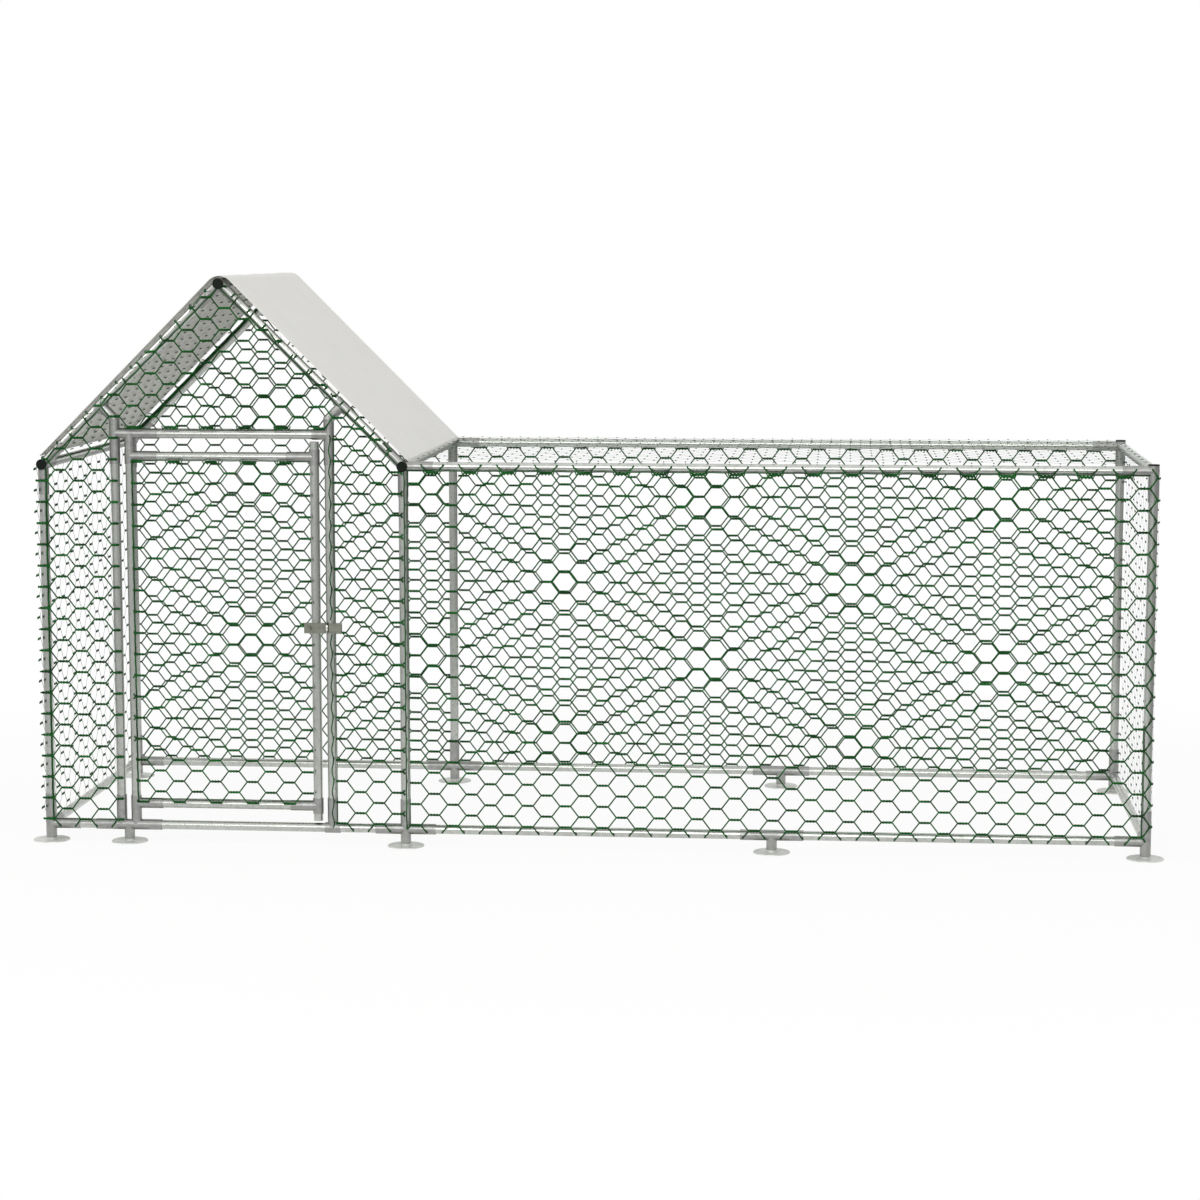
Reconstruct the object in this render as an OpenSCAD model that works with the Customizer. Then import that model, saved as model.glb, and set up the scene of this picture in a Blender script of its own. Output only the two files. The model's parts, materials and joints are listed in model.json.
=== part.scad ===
// Chicken run: a walk-in house under a ridge, with a lower run along its side.
// Push-fit steel tubes carry hexagonal wire netting, and one sheet covers the roof.
// X runs from the house to the run, Y from front to back, Z up.
// The ground is Z = 0, and the origin lies on it under the middle of the frame.

/* [Frame] */
// Length of the house, post centre to post centre
house_length = 985; // [880:5:1300]
// Length of the run, post centre to post centre
run_length = 1990; // [1200:10:3000]
// Depth, post centre to post centre
depth = 975; // [700:5:1300]
// Height of the eaves and of the run's top rails, at the tube's centre
eave_height = 1036; // [800:4:1300]
// Rise of the ridge above the eaves, centre to centre
ridge_rise = 487; // [430:1:600]
// Height of the bottom rails, at the tube's centre
rail_height = 47; // [44:1:80]

/* [Tubes] */
// Outer diameter of every tube
tube_d = 25; // [22:0.5:28]
// Wall of every tube
tube_wall = 1; // [0.8:0.1:2]

/* [Connectors] */
// Clearance round a tube in its socket
socket_fit = 0.25; // [0.15:0.05:0.4]
// Wall of the sleeve that the other arms are welded to
socket_wall = 1.75; // [1.4:0.05:2.5]
// How much slimmer each further arm is, so that its weld shows
weld_step = 0.25; // [0.15:0.05:0.3]
// Solid web between the sleeve's outside and a socket's floor
socket_web = 3.5; // [2:0.5:8]
// Length of a socket, from the crossing of the tubes' centre lines
socket_length = 82; // [60:1:110]
// Length of the couplers' sockets in the middle of the run
coupler_length = 85; // [60:1:110]
// Length of the sill connector's sockets, beyond its uprights
sill_socket = 71; // [50:1:100]
// Half the length of a sleeve that a tube runs through
sleeve_half = 21; // [18:0.5:30]

/* [Door] */
// Hinge post, from the left corner post
hinge_post_inset = 198.5; // [170:0.5:230]
// Latch post, from the post between house and run
latch_post_inset = 200.5; // [170:0.5:230]
// Hinge post to hinge stile, centre to centre
hinge_gap = 41; // [38:0.5:60]
// Latch stile to latch post, centre to centre
latch_gap = 40; // [36:0.5:46]
// Lintel above the eaves, centre to centre
lintel_rise = 84; // [60:1:90]
// Door's top rail below the lintel, centre to centre
door_top_drop = 61; // [58:1:100]
// Door's bottom rail above the sill, centre to centre
door_bottom_rise = 60; // [58:1:100]
// Length of the sockets that the hinge stile turns in
hinge_socket = 37; // [30:0.5:37]
// Running clearance round the hinge stile
hinge_fit = 0.08; // [0.05:0.01:0.1]
// End clearance of the hinge stile, above and below
hinge_end_gap = 0.3; // [0.2:0.1:1]
// Room between the latch stile's ends and the centres of sill and lintel
latch_stile_room = 19.5; // [16:0.5:26]
// Leg from a door post's head to the rafter
head_leg = 52; // [46:1:56]
// Length of the lintel's socket, beyond the hinge stile
lintel_socket = 78; // [50:1:100]
// Length of the lintel's socket at the latch post
lintel_end_socket = 45; // [34:1:80]
// Length of the door elbows' sockets
elbow_socket = 75; // [50:1:100]

/* [Latch] */
// Height of the latch
latch_height = 598; // [400:1:800]
// Height of the guide and the keeper
plate_h = 28; // [28:0.5:40]
// Depth of the guide and the keeper
plate_depth = 11; // [10:0.5:16]
// Length of the guide on the door
guide_length = 58; // [56:1:70]
// Length of the keeper on the post
keeper_length = 34; // [28:1:60]
// How far the keeper starts before the post's centre
keeper_lap = 1; // [0.5:0.5:4]
// Length of the flat bolt
bolt_length = 50; // [48:1:54]
// Height of the flat bolt
bolt_h = 16; // [10:0.5:16]
// Thickness of the flat bolt
bolt_t = 5; // [4:0.5:6]
// Clearance round the bolt in its guide
bolt_fit = 0.3; // [0.2:0.1:0.5]
// Clearance round the bolt in its keeper
keeper_fit = 1; // [0.5:0.1:1.2]
// Travel of the bolt
bolt_travel = 34; // [20:1:34]
// How far the bolt lies back inside its guide
bolt_setback = 1; // [0.5:0.5:3]
// Diameter of the bolt's knob
knob_d = 8; // [6:0.5:9]
// How far the knob stands out of the guide
knob_reach = 9; // [5:0.5:14]
// Knob's centre from the bolt's tail
knob_inset = 8; // [6:0.5:10]
// Shank of the latch screws
screw_d = 3.2; // [2.5:0.1:3.4]
// Head of the latch screws
screw_head_d = 5; // [4:0.1:5.4]
// Thickness of the screw heads
screw_head_t = 1.6; // [1:0.1:3]
// How far a screw's tip passes its tube's wall
screw_tip = 3; // [1:0.5:6]
// Clearance round a screw's shank
screw_fit = 0.2; // [0.1:0.05:0.3]
// Keeper screws, from the post's centre
keeper_screw_offset = 4; // [2:0.5:6]

/* [Feet and caps] */
// Diameter of a foot's plate
foot_d = 100; // [70:1:140]
// Thickness of a foot's plate
foot_t = 2.5; // [2:0.5:5]
// Bevel round a foot's plate
foot_bevel = 1; // [0.5:0.5:1.5]
// Room between the ground and a connector's leg
leg_gap = 8; // [6:0.5:12]
// Thickness of an end cap's face
cap_t = 3.5; // [2:0.5:6]
// Length of an end cap's plug
cap_plug = 10; // [5:0.5:12]
// Wall left round an end cap's plug
cap_wall = 4; // [3:0.5:6]
// How far an eave's sleeve stands in front of its post's centre line
cap_seat = 18; // [16:0.5:24]

/* [Netting] */
// Diameter of the wire, which is the netting's thickness
wire_d = 2.7; // [1.5:0.1:4]
// Clearance between the netting and the connectors
net_fit = 0.3; // [0.2:0.05:0.5]
// Side of a drawn hexagon; the real netting is about four times as fine
cell_side = 140; // [120:1:260]
// Width of the drawn strands
strand = 6; // [4:0.5:12]
// Width of the edge band, where the wires wrap round the tubes
band = 20; // [18:0.5:30]
// Room between neighbouring nets on one tube
net_split = 2; // [1:0.5:6]
// Room round caps and latch in the netting
notch_room = 1.5; // [1:0.25:3]
// Start of the run's top net, from the eave tube's centre
top_net_start = 24; // [20:1:40]

/* [Roof cover] */
// Thickness of the cover
cover_t = 1; // [0.6:0.1:3]
// Clearance between the cover and the netting below it
cover_fit = 0.3; // [0.2:0.1:1]
// How far the cover reaches past the rafters' centre lines, front and back
cover_reach = 17; // [10:0.5:30]

/* [Hidden] */

$fn = 64;
overrun = 1;
arc_steps = 10;
edge_share = 0.45;

zinc = "#b9bcb8";
socket_grey = "#949492";
plate_grey = "#7f8176";
foot_grey = "#d5d7d2";
net_green = "#2e6b3e";
cap_black = "#20251f";
cover_grey = "#d6d5d1";

// Places of the posts, rails and ridge
x_right = (house_length + run_length) / 2;
x_left = -x_right;
x_mid = x_left + house_length;
x_ridge = (x_left + x_mid) / 2;
x_run = (x_mid + x_right) / 2;
x_hinge_post = x_left + hinge_post_inset;
x_hinge = x_hinge_post + hinge_gap;
x_latch_post = x_mid - latch_post_inset;
x_latch = x_latch_post - latch_gap;
x_hinge_foot = (x_hinge_post + x_hinge) / 2;
y_back = depth / 2;
y_front = -y_back;
z_rail = rail_height;
z_eave = eave_height;
z_ridge = z_eave + ridge_rise;
z_lintel = z_eave + lintel_rise;
z_door_top = z_lintel - door_top_drop;
z_door_bottom = z_rail + door_bottom_rise;

// The roof's slope
half_house = house_length / 2;
pitch = atan(ridge_rise / half_house);
rafter_length = norm([half_house, ridge_rise]);
function rafter_z(x) = z_ridge - abs(x - x_ridge) * tan(pitch);

// Radii shared by tubes, sockets and nets
tube_r = tube_d / 2;
bore_r = tube_r + socket_fit;
sleeve_r = bore_r + socket_wall;
arm_r = sleeve_r - weld_step;
spur_r = arm_r - weld_step;
thin_r = spur_r - weld_step;
hinge_bore_r = tube_r + hinge_fit;
socket_floor = sleeve_r + socket_web;
tube_stop = socket_floor + socket_fit;
leg_length = rail_height - leg_gap;
cap_plug_r = sleeve_r - cap_wall;
net_inner = sleeve_r + net_fit;
net_outer = net_inner + wire_d;
notch_r = sleeve_r + notch_room;
z_net = z_rail - tube_r;
cover_inner = net_outer + cover_fit;
cover_outer = cover_inner + cover_t;
// Roof nets and cover end up the slope, where the nets come level with the run's top net
roof_edge = net_inner * tan(pitch / 2);

// The latch's places
y_plate = y_front - tube_r - net_fit;
y_bolt = y_plate - plate_depth / 2;
y_face = y_plate - plate_depth;
x_guide = x_latch - guide_length / 2;
x_keeper = x_latch_post - keeper_lap;
x_bolt = x_guide + guide_length - bolt_setback - bolt_length;
x_knob = x_bolt + knob_inset;
screw_rise = (plate_h + bolt_h) / 4;

right = [1, 0, 0];
back = [0, 1, 0];
up = [0, 0, 1];
left_slope = [cos(pitch), 0, sin(pitch)];
right_slope = [-cos(pitch), 0, sin(pitch)];
left_normal = [-sin(pitch), 0, cos(pitch)];
right_normal = [sin(pitch), 0, cos(pitch)];

foot_places = [
    for (x = [x_left, x_hinge_foot, x_mid, x_run, x_right]) [x, y_front],
    for (x = [x_left, x_mid, x_run, x_right]) [x, y_back]
];

// A round bar from one point to another
module rod(p, q, r) {
    d = q - p;
    translate(p)
        rotate([0, acos(d.z / norm(d)), atan2(d.y, d.x)])
            cylinder(r = r, h = norm(d));
}

// A steel tube from one point to another
module tube(p, q) {
    d = (q - p) / norm(q - p);
    color(zinc) difference() {
        rod(p, q, tube_r);
        rod(p - overrun * d, q + overrun * d, tube_r - tube_wall);
    }
}

// A connector round its crossing point. Each arm is [direction, outer radius, length]
// and holds a tube; each cap is [direction, seat] and holds an end cap's plug.
module connector(crossing, arms, caps = []) {
    color(socket_grey) difference() {
        union() {
            for (a = arms) rod(crossing, crossing + a[0] * a[2], a[1]);
            for (c = caps) rod(crossing, crossing + c[0] * c[1], sleeve_r);
        }
        for (a = arms)
            rod(crossing + a[0] * socket_floor, crossing + a[0] * (a[2] + overrun), bore_r);
        for (c = caps)
            rod(crossing + c[0] * (c[1] - cap_plug - socket_fit),
                crossing + c[0] * (c[1] + overrun), cap_plug_r + socket_fit);
    }
}

// A sleeve that a tube runs through, with one socket square to it
module through_tee(crossing, along, arm, arm_length) {
    color(socket_grey) difference() {
        union() {
            rod(crossing - along * sleeve_half, crossing + along * sleeve_half, sleeve_r);
            rod(crossing, crossing + arm * arm_length, arm_r);
        }
        rod(crossing - along * (sleeve_half + overrun),
            crossing + along * (sleeve_half + overrun), bore_r);
        rod(crossing + arm * socket_floor, crossing + arm * (arm_length + overrun), bore_r);
    }
}

// Posts, from a bottom connector to an eave or corner connector
module post(x, y) tube([x, y, z_rail + tube_stop], [x, y, z_eave - tube_stop]);
module post_front_left() post(x_left, y_front);
module post_front_mid() post(x_mid, y_front);
module post_front_right() post(x_right, y_front);
module post_back_left() post(x_left, y_back);
module post_back_mid() post(x_mid, y_back);
module post_back_right() post(x_right, y_back);

// Posts on either side of the door, and the lintel between them
module door_post(x) tube([x, y_front, z_rail + tube_stop], [x, y_front, z_lintel - tube_stop]);
module hinge_post() door_post(x_hinge_post);
module latch_post() color(zinc) difference() {
    door_post(x_latch_post);
    screw_holes(x_latch_post + keeper_screw_offset);
}
module rail_x(x0, x1, y, z) tube([x0 + tube_stop, y, z], [x1 - tube_stop, y, z]);
module rail_y(x, z) tube([x, y_front + tube_stop, z], [x, y_back - tube_stop, z]);
module lintel() rail_x(x_hinge, x_latch_post, y_front, z_lintel);

// Rails along the ground
module sill_left() rail_x(x_left, x_hinge_post, y_front, z_rail);
module sill_right() rail_x(x_hinge, x_mid, y_front, z_rail);
module rail_left() rail_y(x_left, z_rail);
module rail_right() rail_y(x_right, z_rail);
module rail_back_house() rail_x(x_left, x_mid, y_back, z_rail);
module run_rails_bottom(y) {
    rail_x(x_mid, x_run, y, z_rail);
    rail_x(x_run, x_right, y, z_rail);
}
module run_rails_bottom_front() run_rails_bottom(y_front);
module run_rails_bottom_back() run_rails_bottom(y_back);

// Rails at the top of the run
module run_rail_top_front() rail_x(x_mid, x_right, y_front, z_eave);
module run_rail_top_back() rail_x(x_mid, x_right, y_back, z_eave);
module run_rail_top_right() rail_y(x_right, z_eave);

// The roof's tubes
module eave_tube_left() rail_y(x_left, z_eave);
module eave_tube_mid() rail_y(x_mid, z_eave);
module ridge_tube() rail_y(x_ridge, z_ridge);
module rafters(y) {
    ridge = [x_ridge, y, z_ridge];
    for (s = [left_slope, right_slope])
        tube(ridge - s * (rafter_length - tube_stop), ridge - s * tube_stop);
}
module rafters_front() rafters(y_front);
module rafters_back() rafters(y_back);

// Connectors at the four bottom corners, each on a leg for its foot
module corner_connectors() {
    for (x = [x_left, x_right], y = [y_front, y_back])
        connector([x, y, z_rail], [
            [up, sleeve_r, socket_length], [-up, sleeve_r, leg_length],
            [-sign(x) * right, arm_r, socket_length], [-sign(y) * back, spur_r, socket_length]
        ]);
}

// Connectors under the posts between house and run
module mid_connectors() {
    for (y = [y_front, y_back])
        connector([x_mid, y, z_rail], [
            [right, sleeve_r, socket_length], [-right, sleeve_r, socket_length],
            [up, arm_r, socket_length], [-up, spur_r, leg_length]
        ]);
}

// Couplers that join the run's bottom rails over a foot
module run_couplers() {
    for (y = [y_front, y_back])
        connector([x_run, y, z_rail], [
            [right, sleeve_r, coupler_length], [-right, sleeve_r, coupler_length],
            [-up, arm_r, leg_length]
        ]);
}

// Connector on the sill: hinge post, hinge stile's lower socket and a foot's leg
module sill_hinge_connector() {
    post_base = [x_hinge_post, y_front, z_rail];
    stile_base = [x_hinge, y_front, z_rail];
    leg_top = [x_hinge_foot, y_front, z_rail];
    color(socket_grey) difference() {
        union() {
            rod(post_base - right * sill_socket, stile_base + right * sill_socket, sleeve_r);
            rod(post_base, post_base + up * socket_length, arm_r);
            rod(stile_base, stile_base + up * hinge_socket, arm_r);
            rod(leg_top, leg_top - up * leg_length, spur_r);
        }
        rod(post_base - right * socket_floor, post_base - right * (sill_socket + overrun), bore_r);
        rod(stile_base + right * socket_floor, stile_base + right * (sill_socket + overrun), bore_r);
        rod(post_base + up * socket_floor, post_base + up * (socket_length + overrun), bore_r);
        rod(stile_base + up * socket_floor, stile_base + up * (hinge_socket + overrun), hinge_bore_r);
        rod(leg_top - up * socket_floor, leg_top - up * (leg_length + overrun), bore_r);
    }
}

// Tee that stands the latch post on the sill
module latch_post_base() through_tee([x_latch_post, y_front, z_rail], right, up, socket_length);

// Head of a door post: post socket, lintel socket and a leg to a sleeve on the rafter
module door_head(x, inward, slope, normal, lintel_start) {
    crossing = [x, y_front, z_lintel];
    knee = [x, y_front, rafter_z(x) - head_leg / cos(pitch)];
    saddle = knee + normal * head_leg;
    mouth = lintel_start + inward * (lintel_start == crossing ? lintel_end_socket : lintel_socket);
    difference() {
        union() {
            rod(crossing - up * socket_length, knee, arm_r);
            translate(knee) sphere(r = sleeve_r);
            rod(knee, saddle, spur_r);
            rod(saddle - slope * sleeve_half, saddle + slope * sleeve_half, sleeve_r);
            rod(crossing, mouth, spur_r);
        }
        rod(crossing - up * socket_floor, crossing - up * (socket_length + overrun), bore_r);
        rod(lintel_start + inward * socket_floor, mouth + inward * overrun, bore_r);
        rod(saddle - slope * (sleeve_half + overrun),
            saddle + slope * (sleeve_half + overrun), bore_r);
    }
}
module door_head_connectors() {
    stile_top = [x_hinge, y_front, z_lintel];
    color(socket_grey) {
        difference() {
            union() {
                door_head(x_hinge_post, right, left_slope, left_normal, stile_top);
                rod(stile_top, stile_top - up * hinge_socket, arm_r);
            }
            rod(stile_top - up * socket_floor, stile_top - up * (hinge_socket + overrun), hinge_bore_r);
        }
        door_head(x_latch_post, -right, right_slope, right_normal, [x_latch_post, y_front, z_lintel]);
    }
}

// Connectors at the eaves: post, eave tube, rafter and, beside the run, its top rail
module eave_connector(x, y, slope, extra_arms) {
    inward = -sign(y) * back;
    connector([x, y, z_eave], concat([
        [inward, sleeve_r, socket_length], [-up, arm_r, socket_length], [slope, spur_r, socket_length]
    ], extra_arms), [[-inward, cap_seat]]);
}
module eave_connectors_left() {
    for (y = [y_front, y_back]) eave_connector(x_left, y, left_slope, []);
}
module eave_connectors_mid() {
    for (y = [y_front, y_back])
        eave_connector(x_mid, y, right_slope, [[right, thin_r, socket_length]]);
}
module ridge_connectors() {
    for (y = [y_front, y_back])
        connector([x_ridge, y, z_ridge], [
            [-sign(y) * back, sleeve_r, socket_length],
            [-left_slope, arm_r, socket_length], [-right_slope, spur_r, socket_length]
        ], [[sign(y) * back, cap_seat]]);
}
module run_top_corners() {
    for (y = [y_front, y_back])
        connector([x_right, y, z_eave], [
            [-up, sleeve_r, socket_length], [-right, arm_r, socket_length],
            [-sign(y) * back, spur_r, socket_length]
        ], [[up, sleeve_r]]);
}

// Black plugs in the open ends of the connectors
module end_cap(crossing, d, seat) {
    color(cap_black) {
        rod(crossing + d * seat, crossing + d * (seat + cap_t), sleeve_r);
        rod(crossing + d * (seat - cap_plug), crossing + d * seat, cap_plug_r);
    }
}
module end_caps() {
    for (y = [y_front, y_back]) {
        for (x = [x_left, x_mid]) end_cap([x, y, z_eave], sign(y) * back, cap_seat);
        end_cap([x_ridge, y, z_ridge], sign(y) * back, cap_seat);
        end_cap([x_right, y, z_eave], up, sleeve_r);
    }
}

// Feet: a round plate on the ground with a stem up into the connector's leg
module feet() {
    stem = rail_height - tube_stop - foot_t;
    for (p = foot_places)
        color(foot_grey) translate([p.x, p.y, 0]) {
            cylinder(r1 = foot_d / 2, r2 = foot_d / 2 - foot_bevel, h = foot_t);
            translate([0, 0, foot_t]) cylinder(r = tube_r, h = stem);
        }
}

// Netting. An outline is a convex list of points, counter-clockwise.
function edge_normal(a, b) = [a.y - b.y, b.x - a.x] / norm(b - a);
function normals(points) = [
    for (i = [0:len(points) - 1]) edge_normal(points[i], points[(i + 1) % len(points)])
];
// The outline moved inwards by a width
function inset(points, width) =
    let (n = normals(points), count = len(points))
    [for (i = [0:count - 1])
        let (m = n[(i + count - 1) % count]) points[i] + width * (m + n[i]) / (1 + m * n[i])];
// Least distance of a point inside the outline's edges
function depth_in(c, points) =
    let (n = normals(points)) min([for (i = [0:len(points) - 1]) (c - points[i]) * n[i]]);
function low(points) = [min([for (p = points) p.x]), min([for (p = points) p.y])];
function high(points) = [max([for (p = points) p.x]), max([for (p = points) p.y])];

// Hexagons in columns, every other column half a row higher, inside the edge band
module net_gaps(hole) {
    span = high(hole) - low(hole);
    columns = max(1, round(span.x / (cell_side * 3 / 2)));
    rows = max(1, round(span.y / (cell_side * sqrt(3))));
    pitch_x = span.x / columns;
    pitch_y = span.y / rows;
    hexagon_shares = [[2/3, 0], [1/3, 1/2], [-1/3, 1/2], [-2/3, 0], [-1/3, -1/2], [1/3, -1/2]];
    open_share = 1 - strand / pitch_y;
    intersection() {
        polygon(hole);
        for (k = [0:columns], j = [0:rows]) {
            middle = low(hole) + [k * pitch_x, (j + (k % 2) / 2) * pitch_y];
            if (depth_in(middle, hole) > -edge_share * pitch_y)
                translate(middle)
                    polygon([for (s = hexagon_shares) open_share * [s.x * pitch_x, s.y * pitch_y]]);
        }
    }
}
// A flat net in its outline, with notches taken from children
module net(outline) {
    color(net_green) linear_extrude(wire_d) difference() {
        polygon(outline);
        net_gaps(inset(outline, band));
        children();
    }
}
function box_outline(a, b) = [a, [b.x, a.y], b, [a.x, b.y]];

// Planes that the nets lie in. Front, back and side nets are drawn upright,
// the top net with its own Y along X.
module on_front() translate([0, y_front - net_inner, 0]) rotate([90, 0, 0]) children();
module on_back() translate([0, y_back + net_outer, 0]) rotate([90, 0, 0]) children();
module on_side(x) translate([x, 0, 0]) rotate([90, 0, 90]) children();
module on_top(z) translate([0, 0, z + net_outer]) rotate([180, 0, 90]) children();

module cap_notches() {
    for (p = [[x_left, z_eave], [x_mid, z_eave], [x_ridge, z_ridge]])
        translate(p) circle(r = notch_r);
}
module latch_notch(x, length) {
    translate([x - notch_room, latch_height - plate_h / 2 - notch_room])
        square([length + 2 * notch_room, plate_h + 2 * notch_room]);
}

module front_net_left() on_front() net([
    [x_left, z_net], [x_hinge_post, z_net], [x_hinge_post, rafter_z(x_hinge_post)], [x_left, z_eave]
]) cap_notches();
module front_net_right() on_front() net([
    [x_latch_post, z_net], [x_mid, z_net], [x_mid, z_eave], [x_latch_post, rafter_z(x_latch_post)]
]) {
    cap_notches();
    latch_notch(x_keeper, keeper_length);
}
module front_net_gable() {
    x0 = x_hinge_post + net_split;
    x1 = x_latch_post - net_split;
    on_front() net([
        [x0, z_lintel], [x1, z_lintel], [x1, rafter_z(x1)], [x_ridge, z_ridge], [x0, rafter_z(x0)]
    ]) cap_notches();
}
module left_net() on_side(x_left - net_outer) net(box_outline([y_front, z_net], [y_back, z_eave]));
module back_net_gable() on_back() net([
    [x_left, z_net], [x_mid, z_net], [x_mid, z_eave], [x_ridge, z_ridge], [x_left, z_eave]
]) cap_notches();
module back_net_run() on_back()
    net(box_outline([x_mid + net_split, z_net], [x_right, z_eave])) cap_notches();
module run_front_net() on_front()
    net(box_outline([x_mid + net_split, z_net], [x_right, z_eave])) cap_notches();
module run_top_net() on_top(z_eave)
    net(box_outline([y_front, x_mid + top_net_start], [y_back, x_right]))
        for (y = [y_front, y_back]) translate([y, x_right]) circle(r = notch_r);
module run_right_net() on_side(x_right + net_inner)
    net(box_outline([y_front, z_net], [y_back, z_eave]));
module roof_net() translate([x_left, 0, z_eave]) rotate([0, -pitch, 0])
    on_top(0) net(box_outline([y_front, roof_edge], [y_back, rafter_length]));
module roof_net_left() roof_net();
module roof_net_right() translate([2 * x_ridge, 0, 0]) mirror([1, 0, 0]) roof_net();

// Roof cover: one sheet down both slopes, rounded over the ridge
module roof_cover() {
    slope_length = rafter_length - roof_edge;
    function slope_end(r, side) = [
        side * (slope_length * cos(pitch) + r * sin(pitch)),
        r * cos(pitch) - slope_length * sin(pitch)
    ];
    function ridge_arc(r, from, to) = [
        for (i = [0:arc_steps]) let (a = from + (to - from) * i / arc_steps) r * [sin(a), cos(a)]
    ];
    width = depth + 2 * cover_reach;
    color(cover_grey) translate([x_ridge, width / 2, z_ridge]) rotate([90, 0, 0])
        linear_extrude(width) polygon(concat(
            [slope_end(cover_outer, -1)], ridge_arc(cover_outer, -pitch, pitch),
            [slope_end(cover_outer, 1), slope_end(cover_inner, 1)],
            ridge_arc(cover_inner, pitch, -pitch), [slope_end(cover_inner, -1)]
        ));
}

// Door leaf: the hinge stile turns in sockets on sill and lintel
module door_hinge_stile() tube(
    [x_hinge, y_front, z_rail + socket_floor + hinge_end_gap],
    [x_hinge, y_front, z_lintel - socket_floor - hinge_end_gap]
);
module door_latch_stile() color(zinc) difference() {
    tube([x_latch, y_front, z_rail + latch_stile_room], [x_latch, y_front, z_lintel - latch_stile_room]);
    screw_holes(x_latch);
}
module door_rail_top() rail_x(x_hinge, x_latch, y_front, z_door_top);
module door_rail_bottom() rail_x(x_hinge, x_latch, y_front, z_door_bottom);
module door_elbows() {
    for (z = [z_door_bottom, z_door_top]) {
        through_tee([x_hinge, y_front, z], up, right, elbow_socket);
        through_tee([x_latch, y_front, z], up, -right, elbow_socket);
    }
}
module door_net() on_front()
    net(box_outline([x_hinge, z_door_bottom], [x_latch, z_door_top])) latch_notch(x_guide, guide_length);

// Latch: a flat bolt slides in a guide on the door and into a keeper on the post
module screw_rods(x, start, end, r) {
    for (side = [-1, 1]) {
        z = latch_height + side * screw_rise;
        rod([x, start, z], [x, end, z], r);
    }
}
module screw_holes(x) screw_rods(x, y_face - overrun, y_front, screw_d / 2 + screw_fit);
module screws(x) {
    tip = y_front - tube_r + tube_wall + screw_tip;
    color(plate_grey) {
        screw_rods(x, y_face, tip, screw_d / 2);
        screw_rods(x, y_face - screw_head_t, y_face, screw_head_d / 2);
    }
}
module plate_block(x, length, height, thickness) {
    translate([x, y_bolt - thickness / 2, latch_height - height / 2]) cube([length, thickness, height]);
}
module channel(x, length, fit, x_screws) {
    difference() {
        plate_block(x, length, plate_h, plate_depth);
        plate_block(x - overrun, length + 2 * overrun, bolt_h + 2 * fit, bolt_t + 2 * fit);
        screw_holes(x_screws);
    }
}
module latch_guide() {
    slot_r = knob_d / 2 + bolt_fit;
    color(plate_grey) difference() {
        channel(x_guide, guide_length, bolt_fit, x_latch);
        for (x = [x_knob, x_knob + bolt_travel])
            rod([x, y_bolt, latch_height], [x, y_face - overrun, latch_height], slot_r);
        translate([x_knob, y_face - overrun, latch_height - slot_r])
            cube([bolt_travel, y_bolt - y_face + overrun, 2 * slot_r]);
    }
}
module latch_keeper() color(plate_grey)
    channel(x_keeper, keeper_length, keeper_fit, x_latch_post + keeper_screw_offset);
module guide_screws() screws(x_latch);
module keeper_screws() screws(x_latch_post + keeper_screw_offset);
module latch_bolt() color(zinc) {
    plate_block(x_bolt, bolt_length, bolt_h, bolt_t);
    rod([x_knob, y_bolt, latch_height], [x_knob, y_face - knob_reach, latch_height], knob_d / 2);
}

post_front_left();
post_front_mid();
post_front_right();
post_back_left();
post_back_mid();
post_back_right();
hinge_post();
latch_post();
lintel();
sill_left();
sill_right();
rail_left();
rail_right();
rail_back_house();
run_rails_bottom_front();
run_rails_bottom_back();
run_rail_top_front();
run_rail_top_back();
run_rail_top_right();
eave_tube_left();
eave_tube_mid();
ridge_tube();
rafters_front();
rafters_back();
corner_connectors();
mid_connectors();
run_couplers();
sill_hinge_connector();
latch_post_base();
door_head_connectors();
eave_connectors_left();
eave_connectors_mid();
ridge_connectors();
run_top_corners();
end_caps();
feet();
front_net_left();
front_net_right();
front_net_gable();
left_net();
back_net_gable();
back_net_run();
roof_net_left();
roof_net_right();
run_front_net();
run_top_net();
run_right_net();
roof_cover();
latch_keeper();
keeper_screws();
door_hinge_stile();
door_latch_stile();
door_rail_top();
door_rail_bottom();
door_elbows();
door_net();
latch_guide();
guide_screws();
latch_bolt();
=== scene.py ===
# %% [markdown]
# # A chicken run of push-fit tube, green wire netting and a sheet roof
#
# A chicken run is a cage of thin tubes with wire netting pulled over it and a sheet over one end for
# shade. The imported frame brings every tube, socket, cap, foot and latch part, in metres. They could be
# modelled again here, but then two models would have to agree, so this lesson only dresses the frame: it
# gives each metal its zinc, weaves the netting, lays the roof sheet and stands the run on white paper.

# %% Load the frame
import json
import math

import bpy
import numpy as np
from mathutils import Matrix, Vector


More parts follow.
